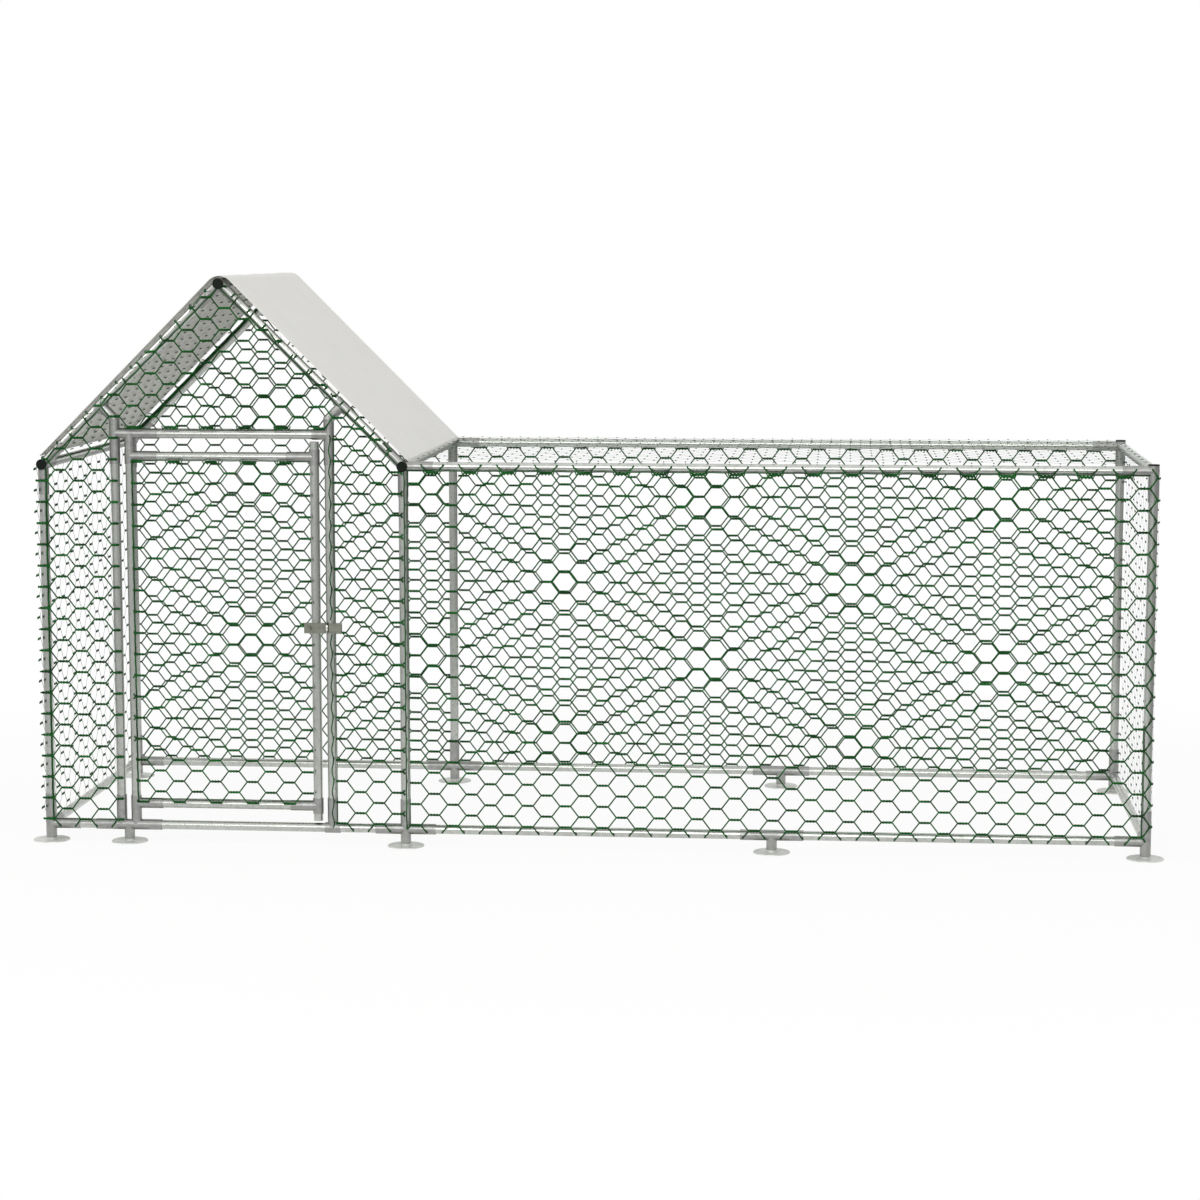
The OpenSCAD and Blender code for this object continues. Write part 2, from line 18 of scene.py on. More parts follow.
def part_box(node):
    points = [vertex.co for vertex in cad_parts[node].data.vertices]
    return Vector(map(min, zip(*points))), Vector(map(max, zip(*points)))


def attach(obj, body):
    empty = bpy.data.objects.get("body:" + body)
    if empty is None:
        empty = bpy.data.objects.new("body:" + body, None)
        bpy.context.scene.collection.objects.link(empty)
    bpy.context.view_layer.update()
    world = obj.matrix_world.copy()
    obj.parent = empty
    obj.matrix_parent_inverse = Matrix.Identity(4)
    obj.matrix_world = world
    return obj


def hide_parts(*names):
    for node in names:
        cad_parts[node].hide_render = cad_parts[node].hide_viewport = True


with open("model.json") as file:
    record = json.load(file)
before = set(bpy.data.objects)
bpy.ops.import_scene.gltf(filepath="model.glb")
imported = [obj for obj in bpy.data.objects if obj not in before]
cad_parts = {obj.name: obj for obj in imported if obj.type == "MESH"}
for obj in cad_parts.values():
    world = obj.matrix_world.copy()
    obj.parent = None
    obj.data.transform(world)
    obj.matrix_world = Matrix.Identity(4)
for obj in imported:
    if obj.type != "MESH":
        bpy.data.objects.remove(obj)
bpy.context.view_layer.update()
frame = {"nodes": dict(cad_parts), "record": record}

# %% [markdown]
# Everything that is added hangs on the tubes, so their centre lines come first. They could be typed in
# from a drawing, but a copied number goes stale when the frame changes. The middle of a straight tube's
# box lies on its centre line, so each line is measured from its node.

# %% Centre lines of the tubes
def middle(node):
    """Middle of a node's box, which for a straight tube lies on its centre line."""
    low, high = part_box(node)
    return (low + high) / 2


X_LEFT, Y_FRONT = middle("post_front_left").xy
X_RIGHT, Y_BACK = middle("post_back_right").xy
X_MID = middle("post_front_mid").x
X_HINGE_POST = middle("hinge_post").x
X_LATCH_POST = middle("latch_post").x
X_HINGE_STILE = middle("door_hinge_stile").x
X_LATCH_STILE = middle("door_latch_stile").x
X_RIDGE = middle("ridge_tube").x
Z_RAIL = middle("rail_left").z
Z_EAVE = middle("eave_tube_left").z
Z_RIDGE = middle("ridge_tube").z
Z_LINTEL = middle("lintel").z
Z_DOOR_LOW = middle("door_rail_bottom").z
Z_DOOR_HIGH = middle("door_rail_top").z
PITCH = math.atan2(Z_RIDGE - Z_EAVE, X_RIDGE - X_LEFT)
RAFTER = math.hypot(Z_RIDGE - Z_EAVE, X_RIDGE - X_LEFT)
print(f"roof pitch {math.degrees(PITCH):.1f} degrees, rafters {RAFTER:.3f} m")

# %% [markdown]
# The camera stands where the photographer stood: about eight metres in front, a little right of the
# middle and just above the ridge, with a long lens, which keeps the tubes nearly parallel. A camera could
# be aimed with a Track To constraint. Here its place and two angles are written down, because they were
# fitted to the points where tubes cross in the photograph.

# %% Camera
IMAGE_SIZE = 1200
SENSOR = 36.0
LENS = 87.23
CAMERA_PLACE = (0.703, -8.2, 1.62)
TILT_DOWN = 6.93
TURN_LEFT = 4.99
# The photograph was measured to the middles of its pixels, half a pixel from their corners.
HALF_PIXEL = 0.5 / IMAGE_SIZE
camera = bpy.data.objects.new("camera", bpy.data.cameras.new("camera"))
camera.data.sensor_width = SENSOR
camera.data.lens = LENS
camera.data.shift_x = -HALF_PIXEL
camera.data.shift_y = HALF_PIXEL
camera.location = CAMERA_PLACE
camera.rotation_euler = (math.radians(90 - TILT_DOWN), 0, math.radians(TURN_LEFT))
bpy.context.scene.collection.objects.link(camera)
bpy.context.scene.camera = camera
bpy.context.scene.view_settings.view_transform = "Standard"
print("lens", LENS, "mm, camera at", CAMERA_PLACE)

# %% [markdown]
# Every colour below is written as the sRGB hex value that a paint chart gives, and one function turns it
# into the linear numbers that Blender works with. Shader nodes could be added line by line. A small
# function that adds a node, sets its values and joins its inputs is shorter, and each finish then reads
# as a list of what it is made of.

# %% Colours and nodes
def linear(colour):
    """Turns an sRGB hex colour such as "#b9bcb8" into linear RGBA."""
    shares = [int(colour[i:i + 2], 16) / 255 for i in (1, 3, 5)]
    return [s / 12.92 if s <= 0.04045 else ((s + 0.055) / 1.055) ** 2.4 for s in shares] + [1.0]


def add_node(tree, kind, inputs=None, **settings):
    """Adds a node; inputs hold values or the sockets to join, settings its own properties."""
    node = tree.nodes.new(kind)
    for name, value in settings.items():
        setattr(node, name, value)
    for name, value in (inputs or {}).items():
        if isinstance(value, bpy.types.NodeSocket):
            tree.links.new(value, node.inputs[name])
        else:
            node.inputs[name].default_value = value
    return node


def new_finish(name, **values):
    """A material of that name: its node tree and its shader, with plain values set on the shader."""
    finish = bpy.data.materials.new(name)
    finish.use_nodes = True
    shader = finish.node_tree.nodes["Principled BSDF"]
    for socket, value in values.items():
        shader.inputs[socket.replace("_", " ")].default_value = value
    return finish, finish.node_tree, shader


def join_shader(tree, shader, **sockets):
    """Joins patterns to the shader's inputs, which are named with _ in place of a space."""
    for name, socket in sockets.items():
        tree.links.new(socket, shader.inputs[name.replace("_", " ")])


def set_tones(ramp, *tones):
    """Colours of a ramp, as (place, hex colour)."""
    steps = ramp.color_ramp.elements
    while len(steps) < len(tones):
        steps.new(1.0)
    for step, (place, colour) in zip(steps, tones):
        step.position = place
        step.color = linear(colour)


print("white is", [round(v, 2) for v in linear("#ffffff")])

# %% [markdown]
# ## Stage
# The run stands on a wide sheet of white paper. One big square face is enough for it, because nothing
# of it is seen but its colour. It lies a hair below the feet, so that the two faces don't flicker.

# %% Paper floor
MM = 0.001
FLOOR_HALF = 30.0
FLOOR_Z = -0.5 * MM
floor_corners = [(-1, -1), (1, -1), (1, 1), (-1, 1)]
floor_mesh = bpy.data.meshes.new("paper_floor")
floor_mesh.from_pydata(
    [(FLOOR_HALF * x, FLOOR_HALF * y, FLOOR_Z) for x, y in floor_corners], [], [(0, 1, 2, 3)])
floor = bpy.data.objects.new("paper_floor", floor_mesh)
bpy.context.scene.collection.objects.link(floor)
print("paper", 2 * FLOOR_HALF, "m wide")

# %% [markdown]
# The photograph's background is pure white. Stronger lamps could burn the paper out, but they would burn
# out the zinc too. The Light Path node tells which kind of ray asks for the colour: a ray from the
# camera or from a mirror gets white, and the light that falls on the object meets plain matt paper.
# Near the run a share of matt paper stays in the mix, and there it takes a soft shadow. For mirror rays
# the paper dims with distance, more on the right than on the left, because bright tubes show a dark
# lower edge where they reflect the room beyond the paper.

# %% Rays that see the background
WHITE_RAYS = ("Is Camera Ray", "Is Glossy Ray", "Is Transmission Ray")


def seen_directly(tree, rays):
    """Socket that is 1 for the rays that show a background as such, from the outputs of a Light Path."""
    seen, *others = (rays[name] for name in WHITE_RAYS)
    for ray in others:
        seen = add_node(tree, "ShaderNodeMath", {0: seen, 1: ray}, operation="MAXIMUM").outputs[0]
    return seen


print("white for", WHITE_RAYS)

# %% White paper
# How near and how far from the middle, in metres, the shadow and the mirrored white fade
SHADOW_NEAR, SHADOW_FAR = 2.0, 3.2
SHINE_NEAR, SHINE_FAR = 1.3, 4.0
PAPER_GLOW = 0.9
LEFT_SHINE, RIGHT_SHINE = 0.62, 0.26
paper = bpy.data.materials.new("white_paper")
paper.use_nodes = True
tree = paper.node_tree
tree.nodes.remove(tree.nodes["Principled BSDF"])
rays = add_node(tree, "ShaderNodeLightPath").outputs
place = add_node(tree, "ShaderNodeTexCoord").outputs["Object"]
away = add_node(tree, "ShaderNodeVectorMath", {0: place}, operation="LENGTH").outputs["Value"]
rightward = add_node(tree, "ShaderNodeSeparateXYZ", {"Vector": place}).outputs["X"]
blank = add_node(tree, "ShaderNodeMapRange", {
    "Value": away, "From Min": SHADOW_NEAR, "From Max": SHADOW_FAR, "To Min": PAPER_GLOW,
}, interpolation_type="SMOOTHSTEP")
share = add_node(
    tree, "ShaderNodeMath", {0: seen_directly(tree, rays), 1: blank.outputs[0]}, operation="MULTIPLY")
dimmed = add_node(tree, "ShaderNodeMapRange", {
    "Value": rightward, "From Min": -SHINE_FAR, "From Max": SHINE_FAR,
    "To Min": LEFT_SHINE, "To Max": RIGHT_SHINE})
fading = add_node(tree, "ShaderNodeMapRange", {
    "Value": away, "From Min": SHINE_NEAR, "From Max": SHINE_FAR,
    "To Min": 1.0, "To Max": dimmed.outputs[0]})
shine = add_node(tree, "ShaderNodeMapRange", {
    "Value": rays["Is Glossy Ray"], "To Min": 1.0, "To Max": fading.outputs[0]})
matt = add_node(tree, "ShaderNodeBsdfDiffuse", {"Color": linear("#e4e4e1")})
glow = add_node(tree, "ShaderNodeEmission", {"Color": linear("#ffffff"), "Strength": shine.outputs[0]})
mixed = add_node(tree, "ShaderNodeMixShader", {0: share.outputs[0], 1: matt.outputs[0], 2: glow.outputs[0]})
tree.links.new(mixed.outputs[0], tree.nodes["Material Output"].inputs["Surface"])
floor_mesh.materials.append(paper)
print("paper fades to plain white between", SHADOW_NEAR, "and", SHADOW_FAR, "m")

# %% [markdown]
# Most of the light comes evenly from all round, as in a white studio tent. A dome of mesh could glow like
# that; a world colour is simpler. Like the paper, it shows full white and lights the object a bit less.

# %% Sky
SKY_LIGHT = 0.92
sky = bpy.data.worlds.new("studio_sky")
bpy.context.scene.world = sky
sky.use_nodes = True
tree = sky.node_tree
seen = seen_directly(tree, add_node(tree, "ShaderNodeLightPath").outputs)
level = add_node(tree, "ShaderNodeMapRange", {"Value": seen, "To Min": SKY_LIGHT, "To Max": 1.0})
background = tree.nodes["Background"]
background.inputs["Color"].default_value = linear("#ffffff")
tree.links.new(level.outputs[0], background.inputs["Strength"])
print("sky lights the run at", SKY_LIGHT)

# %% [markdown]
# Even light alone leaves a tube flat. A few soft boxes give each tube a bright line on the side towards
# the light. Area lamps are used rather than points, because a soft box makes a broad line and a soft
# shadow.

# %% Soft boxes
# Each box: its place, the point that it faces, its width and height, and its watts
SOFT_BOXES = {
    "top_softbox": ((0.0, -0.5, 6.0), (0.0, 0.0, 0.5), (5.0, 5.0), 12),
    "front_strip": ((-0.3, -7.5, 3.3), (0.0, 0.0, 0.7), (4.5, 1.6), 150),
    "right_softbox": ((2.8, -4.4, 5.8), (0.0, 0.0, 0.8), (2.0, 2.0), 20),
    "left_softbox": ((-6.5, -3.0, 4.5), (0.0, 0.0, 0.8), (3.0, 3.0), 100),
}
for name, (place, aim, size, watts) in SOFT_BOXES.items():
    lamp = bpy.data.objects.new(name, bpy.data.lights.new(name, "AREA"))
    lamp.data.shape = "RECTANGLE"
    lamp.data.size, lamp.data.size_y = size
    lamp.data.energy = watts
    lamp.location = place
    lamp.rotation_euler = (Vector(aim) - Vector(place)).to_track_quat("-Z", "Y").to_euler()
    bpy.context.scene.collection.objects.link(lamp)
    print(name, watts, "W")

# %% [markdown]
# ## Finishes
# The tubes are cold-formed from strip steel that was galvanised at the mill. Zinc freezes on such strip
# in crystals a few millimetres wide, the spangle, and each crystal leans its own way, so to the eye the
# tube is a patchwork of slightly lighter and darker greys with a satin shine. A photograph of zinc could
# be wrapped round it, but it would show its seams. A Voronoi pattern gives the crystals anywhere in
# space, and cloudy noise gives the handling marks.

# %% Galvanised tube
SPANGLE = 9 * MM
HANDLING = 70 * MM
# Real scuffs are finer than this; they are drawn as coarse as they need to be to show.
SCUFF = 1.5 * MM
zinc_tube, tree, shader = new_finish("galvanised_steel_tube", Metallic=1.0)
place = add_node(tree, "ShaderNodeTexCoord").outputs["Object"]
crystals = add_node(tree, "ShaderNodeTexVoronoi", {"Vector": place, "Scale": 1 / SPANGLE})
marks = add_node(tree, "ShaderNodeTexNoise", {"Vector": place, "Scale": 1 / HANDLING, "Detail": 4.0})
tone = add_node(tree, "ShaderNodeMix", {0: 0.6, 2: crystals.outputs["Color"], 3: marks.outputs["Fac"]})
ramp = add_node(tree, "ShaderNodeValToRGB", {"Fac": tone.outputs[0]})
set_tones(ramp, (0.2, "#acafa9"), (0.5, "#bbbeb8"), (0.85, "#c9ccc7"))
satin = add_node(tree, "ShaderNodeMapRange", {"Value": tone.outputs[0], "To Min": 0.34, "To Max": 0.22})
scuffs = add_node(tree, "ShaderNodeTexNoise", {"Vector": place, "Scale": 1 / SCUFF, "Detail": 2.0})
relief = add_node(
    tree, "ShaderNodeBump", {"Height": scuffs.outputs["Fac"], "Strength": 0.03, "Distance": 0.1 * MM})
join_shader(tree, shader, Base_Color=ramp.outputs["Color"], Roughness=satin.outputs[0],
            Normal=relief.outputs["Normal"])
print(f"{zinc_tube.name}: spangle of {SPANGLE / MM:.0f} mm")

# %% [markdown]
# The sockets are short lengths of wider tube, welded into tees and corners and then zinc plated. To the
# eye they are a darker, duller grey than the tubes, with a mottle from the plating bath. The spangle
# pattern would be wrong on them, because plating leaves no crystals, so soft noise alone makes them.

# %% Plated sockets
MOTTLE = 14 * MM
socket_steel, tree, shader = new_finish("zinc_plated_weldment", Metallic=1.0)
place = add_node(tree, "ShaderNodeTexCoord").outputs["Object"]
mottle = add_node(tree, "ShaderNodeTexNoise", {"Vector": place, "Scale": 1 / MOTTLE, "Detail": 5.0})
ramp = add_node(tree, "ShaderNodeValToRGB", {"Fac": mottle.outputs["Fac"]})
set_tones(ramp, (0.3, "#929390"), (0.5, "#9c9d9a"), (0.72, "#a6a7a4"))
dull = add_node(
    tree, "ShaderNodeMapRange", {"Value": mottle.outputs["Fac"], "To Min": 0.46, "To Max": 0.32})
grit = add_node(tree, "ShaderNodeTexNoise", {"Vector": place, "Scale": 1 / SCUFF, "Detail": 3.0})
relief = add_node(
    tree, "ShaderNodeBump", {"Height": grit.outputs["Fac"], "Strength": 0.15, "Distance": 0.15 * MM})
join_shader(tree, shader, Base_Color=ramp.outputs["Color"], Roughness=dull.outputs[0],
            Normal=relief.outputs["Normal"])
print(f"{socket_steel.name}: mottle of {MOTTLE / MM:.0f} mm")

# %% [markdown]
# The foot plates are pressed from thicker sheet and dipped in zinc, which leaves them pale and slightly
# chalky to the eye, with white bloom where damp has stood on them. Bloom is not a metal, so the finish
# is set halfway between metal and chalk, rather than mixed from two shaders, which a plain export loses.

# %% Dipped feet
BLOOM = 22 * MM
foot_zinc, tree, shader = new_finish("hot_dip_zinc", Metallic=0.5)
place = add_node(tree, "ShaderNodeTexCoord").outputs["Object"]
bloom = add_node(tree, "ShaderNodeTexNoise", {"Vector": place, "Scale": 1 / BLOOM, "Detail": 6.0})
ramp = add_node(tree, "ShaderNodeValToRGB", {"Fac": bloom.outputs["Fac"]})
set_tones(ramp, (0.3, "#c3c5c0"), (0.55, "#d0d2cd"), (0.75, "#dbddd8"))
chalk = add_node(tree, "ShaderNodeMapRange", {"Value": bloom.outputs["Fac"], "To Min": 0.4, "To Max": 0.65})
join_shader(tree, shader, Base_Color=ramp.outputs["Color"], Roughness=chalk.outputs[0])
print(f"{foot_zinc.name}: bloom of {BLOOM / MM:.0f} mm")

# %% [markdown]
# The latch is small pressed steel, zinc plated and passivated. The bath gives the plating an olive cast,
# and to the eye it is the darkest metal on the run. It is made like the sockets, with fewer tones,
# because so little of it shows.

# %% Passivated latch
latch_steel, tree, shader = new_finish("passivated_zinc_plate", Metallic=0.9)
place = add_node(tree, "ShaderNodeTexCoord").outputs["Object"]
cast = add_node(tree, "ShaderNodeTexNoise", {"Vector": place, "Scale": 1 / MOTTLE, "Detail": 4.0})
ramp = add_node(tree, "ShaderNodeValToRGB", {"Fac": cast.outputs["Fac"]})
set_tones(ramp, (0.3, "#74766b"), (0.7, "#8b8d82"))
dull = add_node(tree, "ShaderNodeMapRange", {"Value": cast.outputs["Fac"], "To Min": 0.5, "To Max": 0.36})
join_shader(tree, shader, Base_Color=ramp.outputs["Color"], Roughness=dull.outputs[0])
print(f"{latch_steel.name}: cast of {MOTTLE / MM:.0f} mm")

# %% [markdown]
# The netting is steel wire in a green PVC coat, drawn on hot through a die. The coat is smooth and a
# little waxy, and dust and weather leave it unevenly dark along the wire. The pattern could follow each
# wire, but the wires are far thinner than the patches, so noise in space does as well and needs no map.

# %% Coated wire
WEATHER = 45 * MM
green_wire, tree, shader = new_finish("pvc_coated_wire", IOR=1.53, Specular_IOR_Level=0.12)
place = add_node(tree, "ShaderNodeTexCoord").outputs["Object"]
weather = add_node(tree, "ShaderNodeTexNoise", {"Vector": place, "Scale": 1 / WEATHER, "Detail": 3.0})
ramp = add_node(tree, "ShaderNodeValToRGB", {"Fac": weather.outputs["Fac"]})
set_tones(ramp, (0.3, "#05300c"), (0.5, "#084715"), (0.75, "#136322"))
waxy = add_node(
    tree, "ShaderNodeMapRange", {"Value": weather.outputs["Fac"], "To Min": 0.4, "To Max": 0.58})
join_shader(tree, shader, Base_Color=ramp.outputs["Color"], Roughness=waxy.outputs[0])
print(f"{green_wire.name}: weathered in patches of {WEATHER / MM:.0f} mm")

# %% [markdown]
# The end caps are moulded in black polyethylene. Such mouldings have a fine spark-eroded grain that takes
# the gloss off them, so to the eye they are soft black. The grain could be cut into the mesh; a bump does
# it for a thousandth of the faces. It is drawn several times coarser than real, or it would not show.

# %% Moulded caps
GRAIN = 0.9 * MM
cap_plastic, tree, shader = new_finish("black_polyethylene", IOR=1.5, Specular_IOR_Level=0.15)
place = add_node(tree, "ShaderNodeTexCoord").outputs["Object"]
grain = add_node(tree, "ShaderNodeTexNoise", {"Vector": place, "Scale": 1 / GRAIN, "Detail": 2.0})
ramp = add_node(tree, "ShaderNodeValToRGB", {"Fac": grain.outputs["Fac"]})
set_tones(ramp, (0.35, "#040a03"), (0.7, "#0b140a"))
matt = add_node(tree, "ShaderNodeMapRange", {"Value": grain.outputs["Fac"], "To Min": 0.42, "To Max": 0.58})
relief = add_node(
    tree, "ShaderNodeBump", {"Height": grain.outputs["Fac"], "Strength": 0.3, "Distance": 0.1 * MM})
join_shader(tree, shader, Base_Color=ramp.outputs["Color"], Roughness=matt.outputs[0],
            Normal=relief.outputs["Normal"])
print(f"{cap_plastic.name}: grain of {GRAIN / MM:.1f} mm")

# %% [markdown]
# The roof sheet is woven from flat polyethylene tapes and coated on both sides. The coat lies over the
# weave, so to the eye it is a pale sheet with a fine square relief. Each tape could be a strip of mesh,
# but a coated sheet has no gaps, so two crossed waves along its flat length are enough. The real tapes
# are about 2.5 mm wide; they are drawn twice as wide, because finer ones would not show.

# %% Coated woven sheet
TAPE = 5 * MM
CREASE = 120 * MM
# A wave texture of scale 1 repeats after this length, in metres.
WAVE_TURN = 2 * math.pi / 20
cover_cloth, tree, shader = new_finish("coated_woven_sheet", IOR=1.5)
place = add_node(tree, "ShaderNodeUVMap", uv_map="cloth").outputs["UV"]
warp, weft = (
    add_node(tree, "ShaderNodeTexWave", {"Vector": place, "Scale": WAVE_TURN / TAPE}, bands_direction=way)
    for way in "XY")
weave = add_node(
    tree, "ShaderNodeMath", {0: warp.outputs["Fac"], 1: weft.outputs["Fac"]}, operation="MAXIMUM")
creases = add_node(tree, "ShaderNodeTexNoise", {"Vector": place, "Scale": 1 / CREASE, "Detail": 3.0})
tone = add_node(tree, "ShaderNodeMix", {0: 0.7, 2: weave.outputs[0], 3: creases.outputs["Fac"]})
ramp = add_node(tree, "ShaderNodeValToRGB", {"Fac": tone.outputs[0]})
set_tones(ramp, (0.3, "#cccbc6"), (0.6, "#d3d2ce"), (0.9, "#d8d7d3"))
sheen = add_node(
    tree, "ShaderNodeMapRange", {"Value": creases.outputs["Fac"], "To Min": 0.42, "To Max": 0.6})
relief = add_node(
    tree, "ShaderNodeBump", {"Height": weave.outputs[0], "Strength": 0.2, "Distance": 0.2 * MM})
join_shader(tree, shader, Base_Color=ramp.outputs["Color"], Roughness=sheen.outputs[0],
            Normal=relief.outputs["Normal"])
print(f"{cover_cloth.name}: tapes of {TAPE / MM:.0f} mm")

# %% [markdown]
# Each node could be given its material by name. The frame's record already says which material slot a
# node has, so a table from slot to finish dresses all the tubes, sockets, caps, feet and latch parts.

# %% Dress the frame
FINISHES = {
    "zinc_tube": zinc_tube,
    "socket_steel": socket_steel,
    "foot_zinc": foot_zinc,
    "latch_steel": latch_steel,
    "green_wire": green_wire,
    "cap_plastic": cap_plastic,
    "cover_cloth": cover_cloth,
}
for subpart in frame["record"]["subparts"]:
    node = frame["nodes"][subpart["node"]]
    node.data.materials.clear()
    node.data.materials.append(FINISHES[subpart["material_slot"]])

# %% [markdown]
# ## Netting
# Hexagonal netting is made from wires that all run the same way. Each wire zigzags in its own lane: it is
# twisted with its neighbour on one side, crosses over, and is twisted with the neighbour on the other
# side. A grid of hexagons with the Wireframe modifier would be quick, but it would look flat and have no
# twists, so each wire is drawn as the machine lays it: a helix in each twist and a straight slant between
# two twists. Rollers press the finished net flat, so its wires are less deep than wide. The house and the
# run are fenced with heavy wire at the front and back, and with finer wire at the right end and overhead.
# On the left wall the slants are drawn almost flat, so that they fade: this is painted highlight, where
# side light washes the slants out, while the twists stay heavy and show as dark dots.

# %% One wire in its lane
COLUMN = 50.9 * MM
ROW = 58.13 * MM
TWIST = 32 * MM
TURNS = 2
TWIST_STEPS = 12
SLANT_STEPS = 5
# A pressed twist is this many times as deep as it is wide.
FLAT = 0.35
# Gauges: half the wire's width in a twist, and half its width and depth between two twists
HEAVY = (2.0 * MM, 2.0 * MM, 0.7 * MM)
# The left wall's slants are almost flat as painted highlight: they fade as if washed out by side light.
LEFT_WALL = (2.2 * MM, 1.4 * MM, 0.06 * MM)
RIGHT_WALL = (1.5 * MM, 1.0 * MM, 0.2 * MM)
FINE = (1.1 * MM, 0.7 * MM, 0.2 * MM)
UNDER_ROOF = (1.6 * MM, 0.6 * MM, 0.1 * MM)
# Nothing made of wire is quite even, so slow waves shift it by less than a wire's width. Each wave has
# its radians for a metre along and across the net, and where it starts.
SLACK = 0.7 * MM
SLOW_WAVES = ((3.3, 7.1, 0.0), (6.3, -4.7, 1.3), (5.2, 4.1, 0.0))


def wire_in_lane(lane, first, low, high, gauge):
    """Points (along, across, height, half width, half depth) of one wire from low to high.
    first is the middle of the twist that counts as column 0 and row 0."""
    in_twist, *in_slant = gauge
    t = np.linspace(0, 1, TWIST_STEPS + 1)
    turn = 2 * math.pi * TURNS * t
    thick = np.where(((t > 0) & (t < 1))[:, None], (in_twist, FLAT * in_twist), in_slant)
    gap = np.linspace(0, 1, SLANT_STEPS + 1)[1:-1, None]
    start = math.floor((low - first[0]) / COLUMN) - 1
    end = math.ceil((high - first[0]) / COLUMN) + 2
    points = []
    for column in range(start, end):
        odd = column % 2
        # An even lane is the lower wire of a twist in even columns and the upper one in odd columns.
        side = 1 if odd == (lane % 2 == 0) else -1
        row = lane // 2 - (1 if odd and lane % 2 == 0 else 0)
        twist = np.column_stack([
            first[0] + column * COLUMN + TWIST * (t - 0.5),
            first[1] + (row + odd / 2) * ROW + side * in_twist * np.cos(turn),
            side * FLAT * in_twist * np.sin(turn),
            thick,
        ])
        if points:
            points.append(points[-1][-1] * (1 - gap) + twist[0] * gap)
        points.append(twist)
    points = np.concatenate(points)
    u, v = points[:, 0].copy(), points[:, 1].copy()
    for axis, (along, across, shift) in enumerate(SLOW_WAVES):
        points[:, axis] += SLACK * np.sin(along * u + across * v + shift)
    return points


print("one wire, a metre long:", len(wire_in_lane(0, (0, 0), 0, 1, HEAVY)), "points")

# %% [markdown]
# At its edges the net is pulled over the tubes and the cut ends are bent round them. Cutting it off flat
# would leave it floating in front of the frame, and a Curve modifier bends only one way. So a point that
# lies beyond a tube's centre line is moved on to a circle round that tube, which is plain trigonometry.

# %% Bend the wires round the tubes
# The net's middle stands LIFT from the tubes' centre lines and is pulled in to HUG where it is bent. It
# turns by a radian for each BEND that it runs on, and its twists lose the share PRESSED of their height.
LIFT = 17.4 * MM
HUG = 15.9 * MM
BEND = 15.5 * MM
PRESSED = 0.4


def bend_over(panel, edges, wire):
    """Places of a wire's points on a panel and the directions out of it, bent round the edges' tubes.
    panel is (origin, along, across, outward). Each edge is (along, across, place, reach, bend): a tube's
    centre line where along * u + across * v = place, how far the wires go past it and how soon they turn;
    with a bend of 0 they run straight on."""
    origin, along, across, outward = panel
    beyond = wire[:, :2] @ edges[:, :2].T - edges[:, 2]
    nearest = beyond.argmax(axis=1)
    past = beyond.max(axis=1).clip(0)
    bend = edges[nearest, 4]
    angle = np.where(bend == 0, 0, past / np.maximum(bend, MM))
    hug = np.clip(angle, 0, 1)
    radius = LIFT + (HUG - LIFT) * hug + wire[:, 2] * (1 - PRESSED * hug)
    pull = np.where(bend == 0, 0, radius * np.sin(angle) - past)
    edge = edges[nearest, :2]
    flat = wire[:, :2] + edge * pull[:, None]
    rise = radius * np.cos(angle)
    places = origin + flat[:, :1] * along + flat[:, 1:] * across + rise[:, None] * outward
    edge_way = edge[:, :1] * along + edge[:, 1:] * across
    away = np.cos(angle)[:, None] * outward + np.sin(angle)[:, None] * edge_way
    return places, away


print(f"wires stand {LIFT / MM:.1f} mm off a tube's centre line and hug it at {HUG / MM:.1f} mm")

# %% [markdown]
# A net is cut to its wall. The wires could be made too long and trimmed with a Boolean, but that is slow
# on so many thin tubes. Here each wire's points are tested against the wall's edges, and only the runs of
# points that lie inside are kept. The cut ends are a little thicker, as a snipped and bent end is.

# %% Cut the wires to a panel
HOOK = 1.25
NEAR_EDGE = 2 * MM
SHORTEST_RUN = 5
TINY = 1e-6


def panel_corners(edges):
    """Corners of the area inside all the edges."""
    found = []
    for i, a in enumerate(edges):
        for b in edges[i + 1:]:
            sides = np.array([a[:2], b[:2]])
            if abs(np.linalg.det(sides)) > TINY:
                corner = np.linalg.solve(sides, [a[2], b[2]])
                if (edges[:, :2] @ corner <= edges[:, 2] + TINY).all():
                    found.append(corner)
    return np.array(found)


def wires_on_panel(panel, edges, first, gauge):
    """Runs of wire on a flat panel: (places, outward directions, half widths and depths)."""
    panel = [np.array(part, float) for part in panel]
    edges = np.array(edges, float)
    reaches = edges[:, 3]
    corners = panel_corners(edges)
    low, high = corners.min(0) - reaches.max(), corners.max(0) + reaches.max()
    lowest = 2 * math.floor((low[1] - first[1]) / ROW) - 2
    highest = 2 * math.ceil((high[1] - first[1]) / ROW) + 3
    runs = []
    for lane in range(lowest, highest):
        wire = wire_in_lane(lane, first, low[0], high[0], gauge)
        places, away = bend_over(panel, edges, wire)
        beyond = wire[:, :2] @ edges[:, :2].T - edges[:, 2]
        inside = (beyond < reaches).all(axis=1) & ((beyond > 0).sum(axis=1) < 2)
        # The points within a straight slant are only needed where it bends.
        slant = np.arange(len(wire)) % (TWIST_STEPS + SLANT_STEPS) > TWIST_STEPS
        needed = ~slant | (beyond.max(axis=1) > -NEAR_EDGE)
        cuts = np.flatnonzero(np.diff(inside.astype(int))) + 1
        for part in np.split(np.arange(len(wire)), cuts):
            part = part[inside[part] & needed[part]]
            if len(part) >= SHORTEST_RUN:
                thick = wire[part, 3:].copy()
                thick[[0, -1]] *= HOOK
                runs.append((places[part], away[part], thick))
    return runs


print("cut ends are", HOOK, "times as thick as the wire")

# %% [markdown]
# Along the top rails and the lintel the net is laced on: a thinner wire is wound round each twist next
# to the tube, which makes these twists look like dark green clumps. A blob would do from far off, but a
# coil costs little and holds up close by.

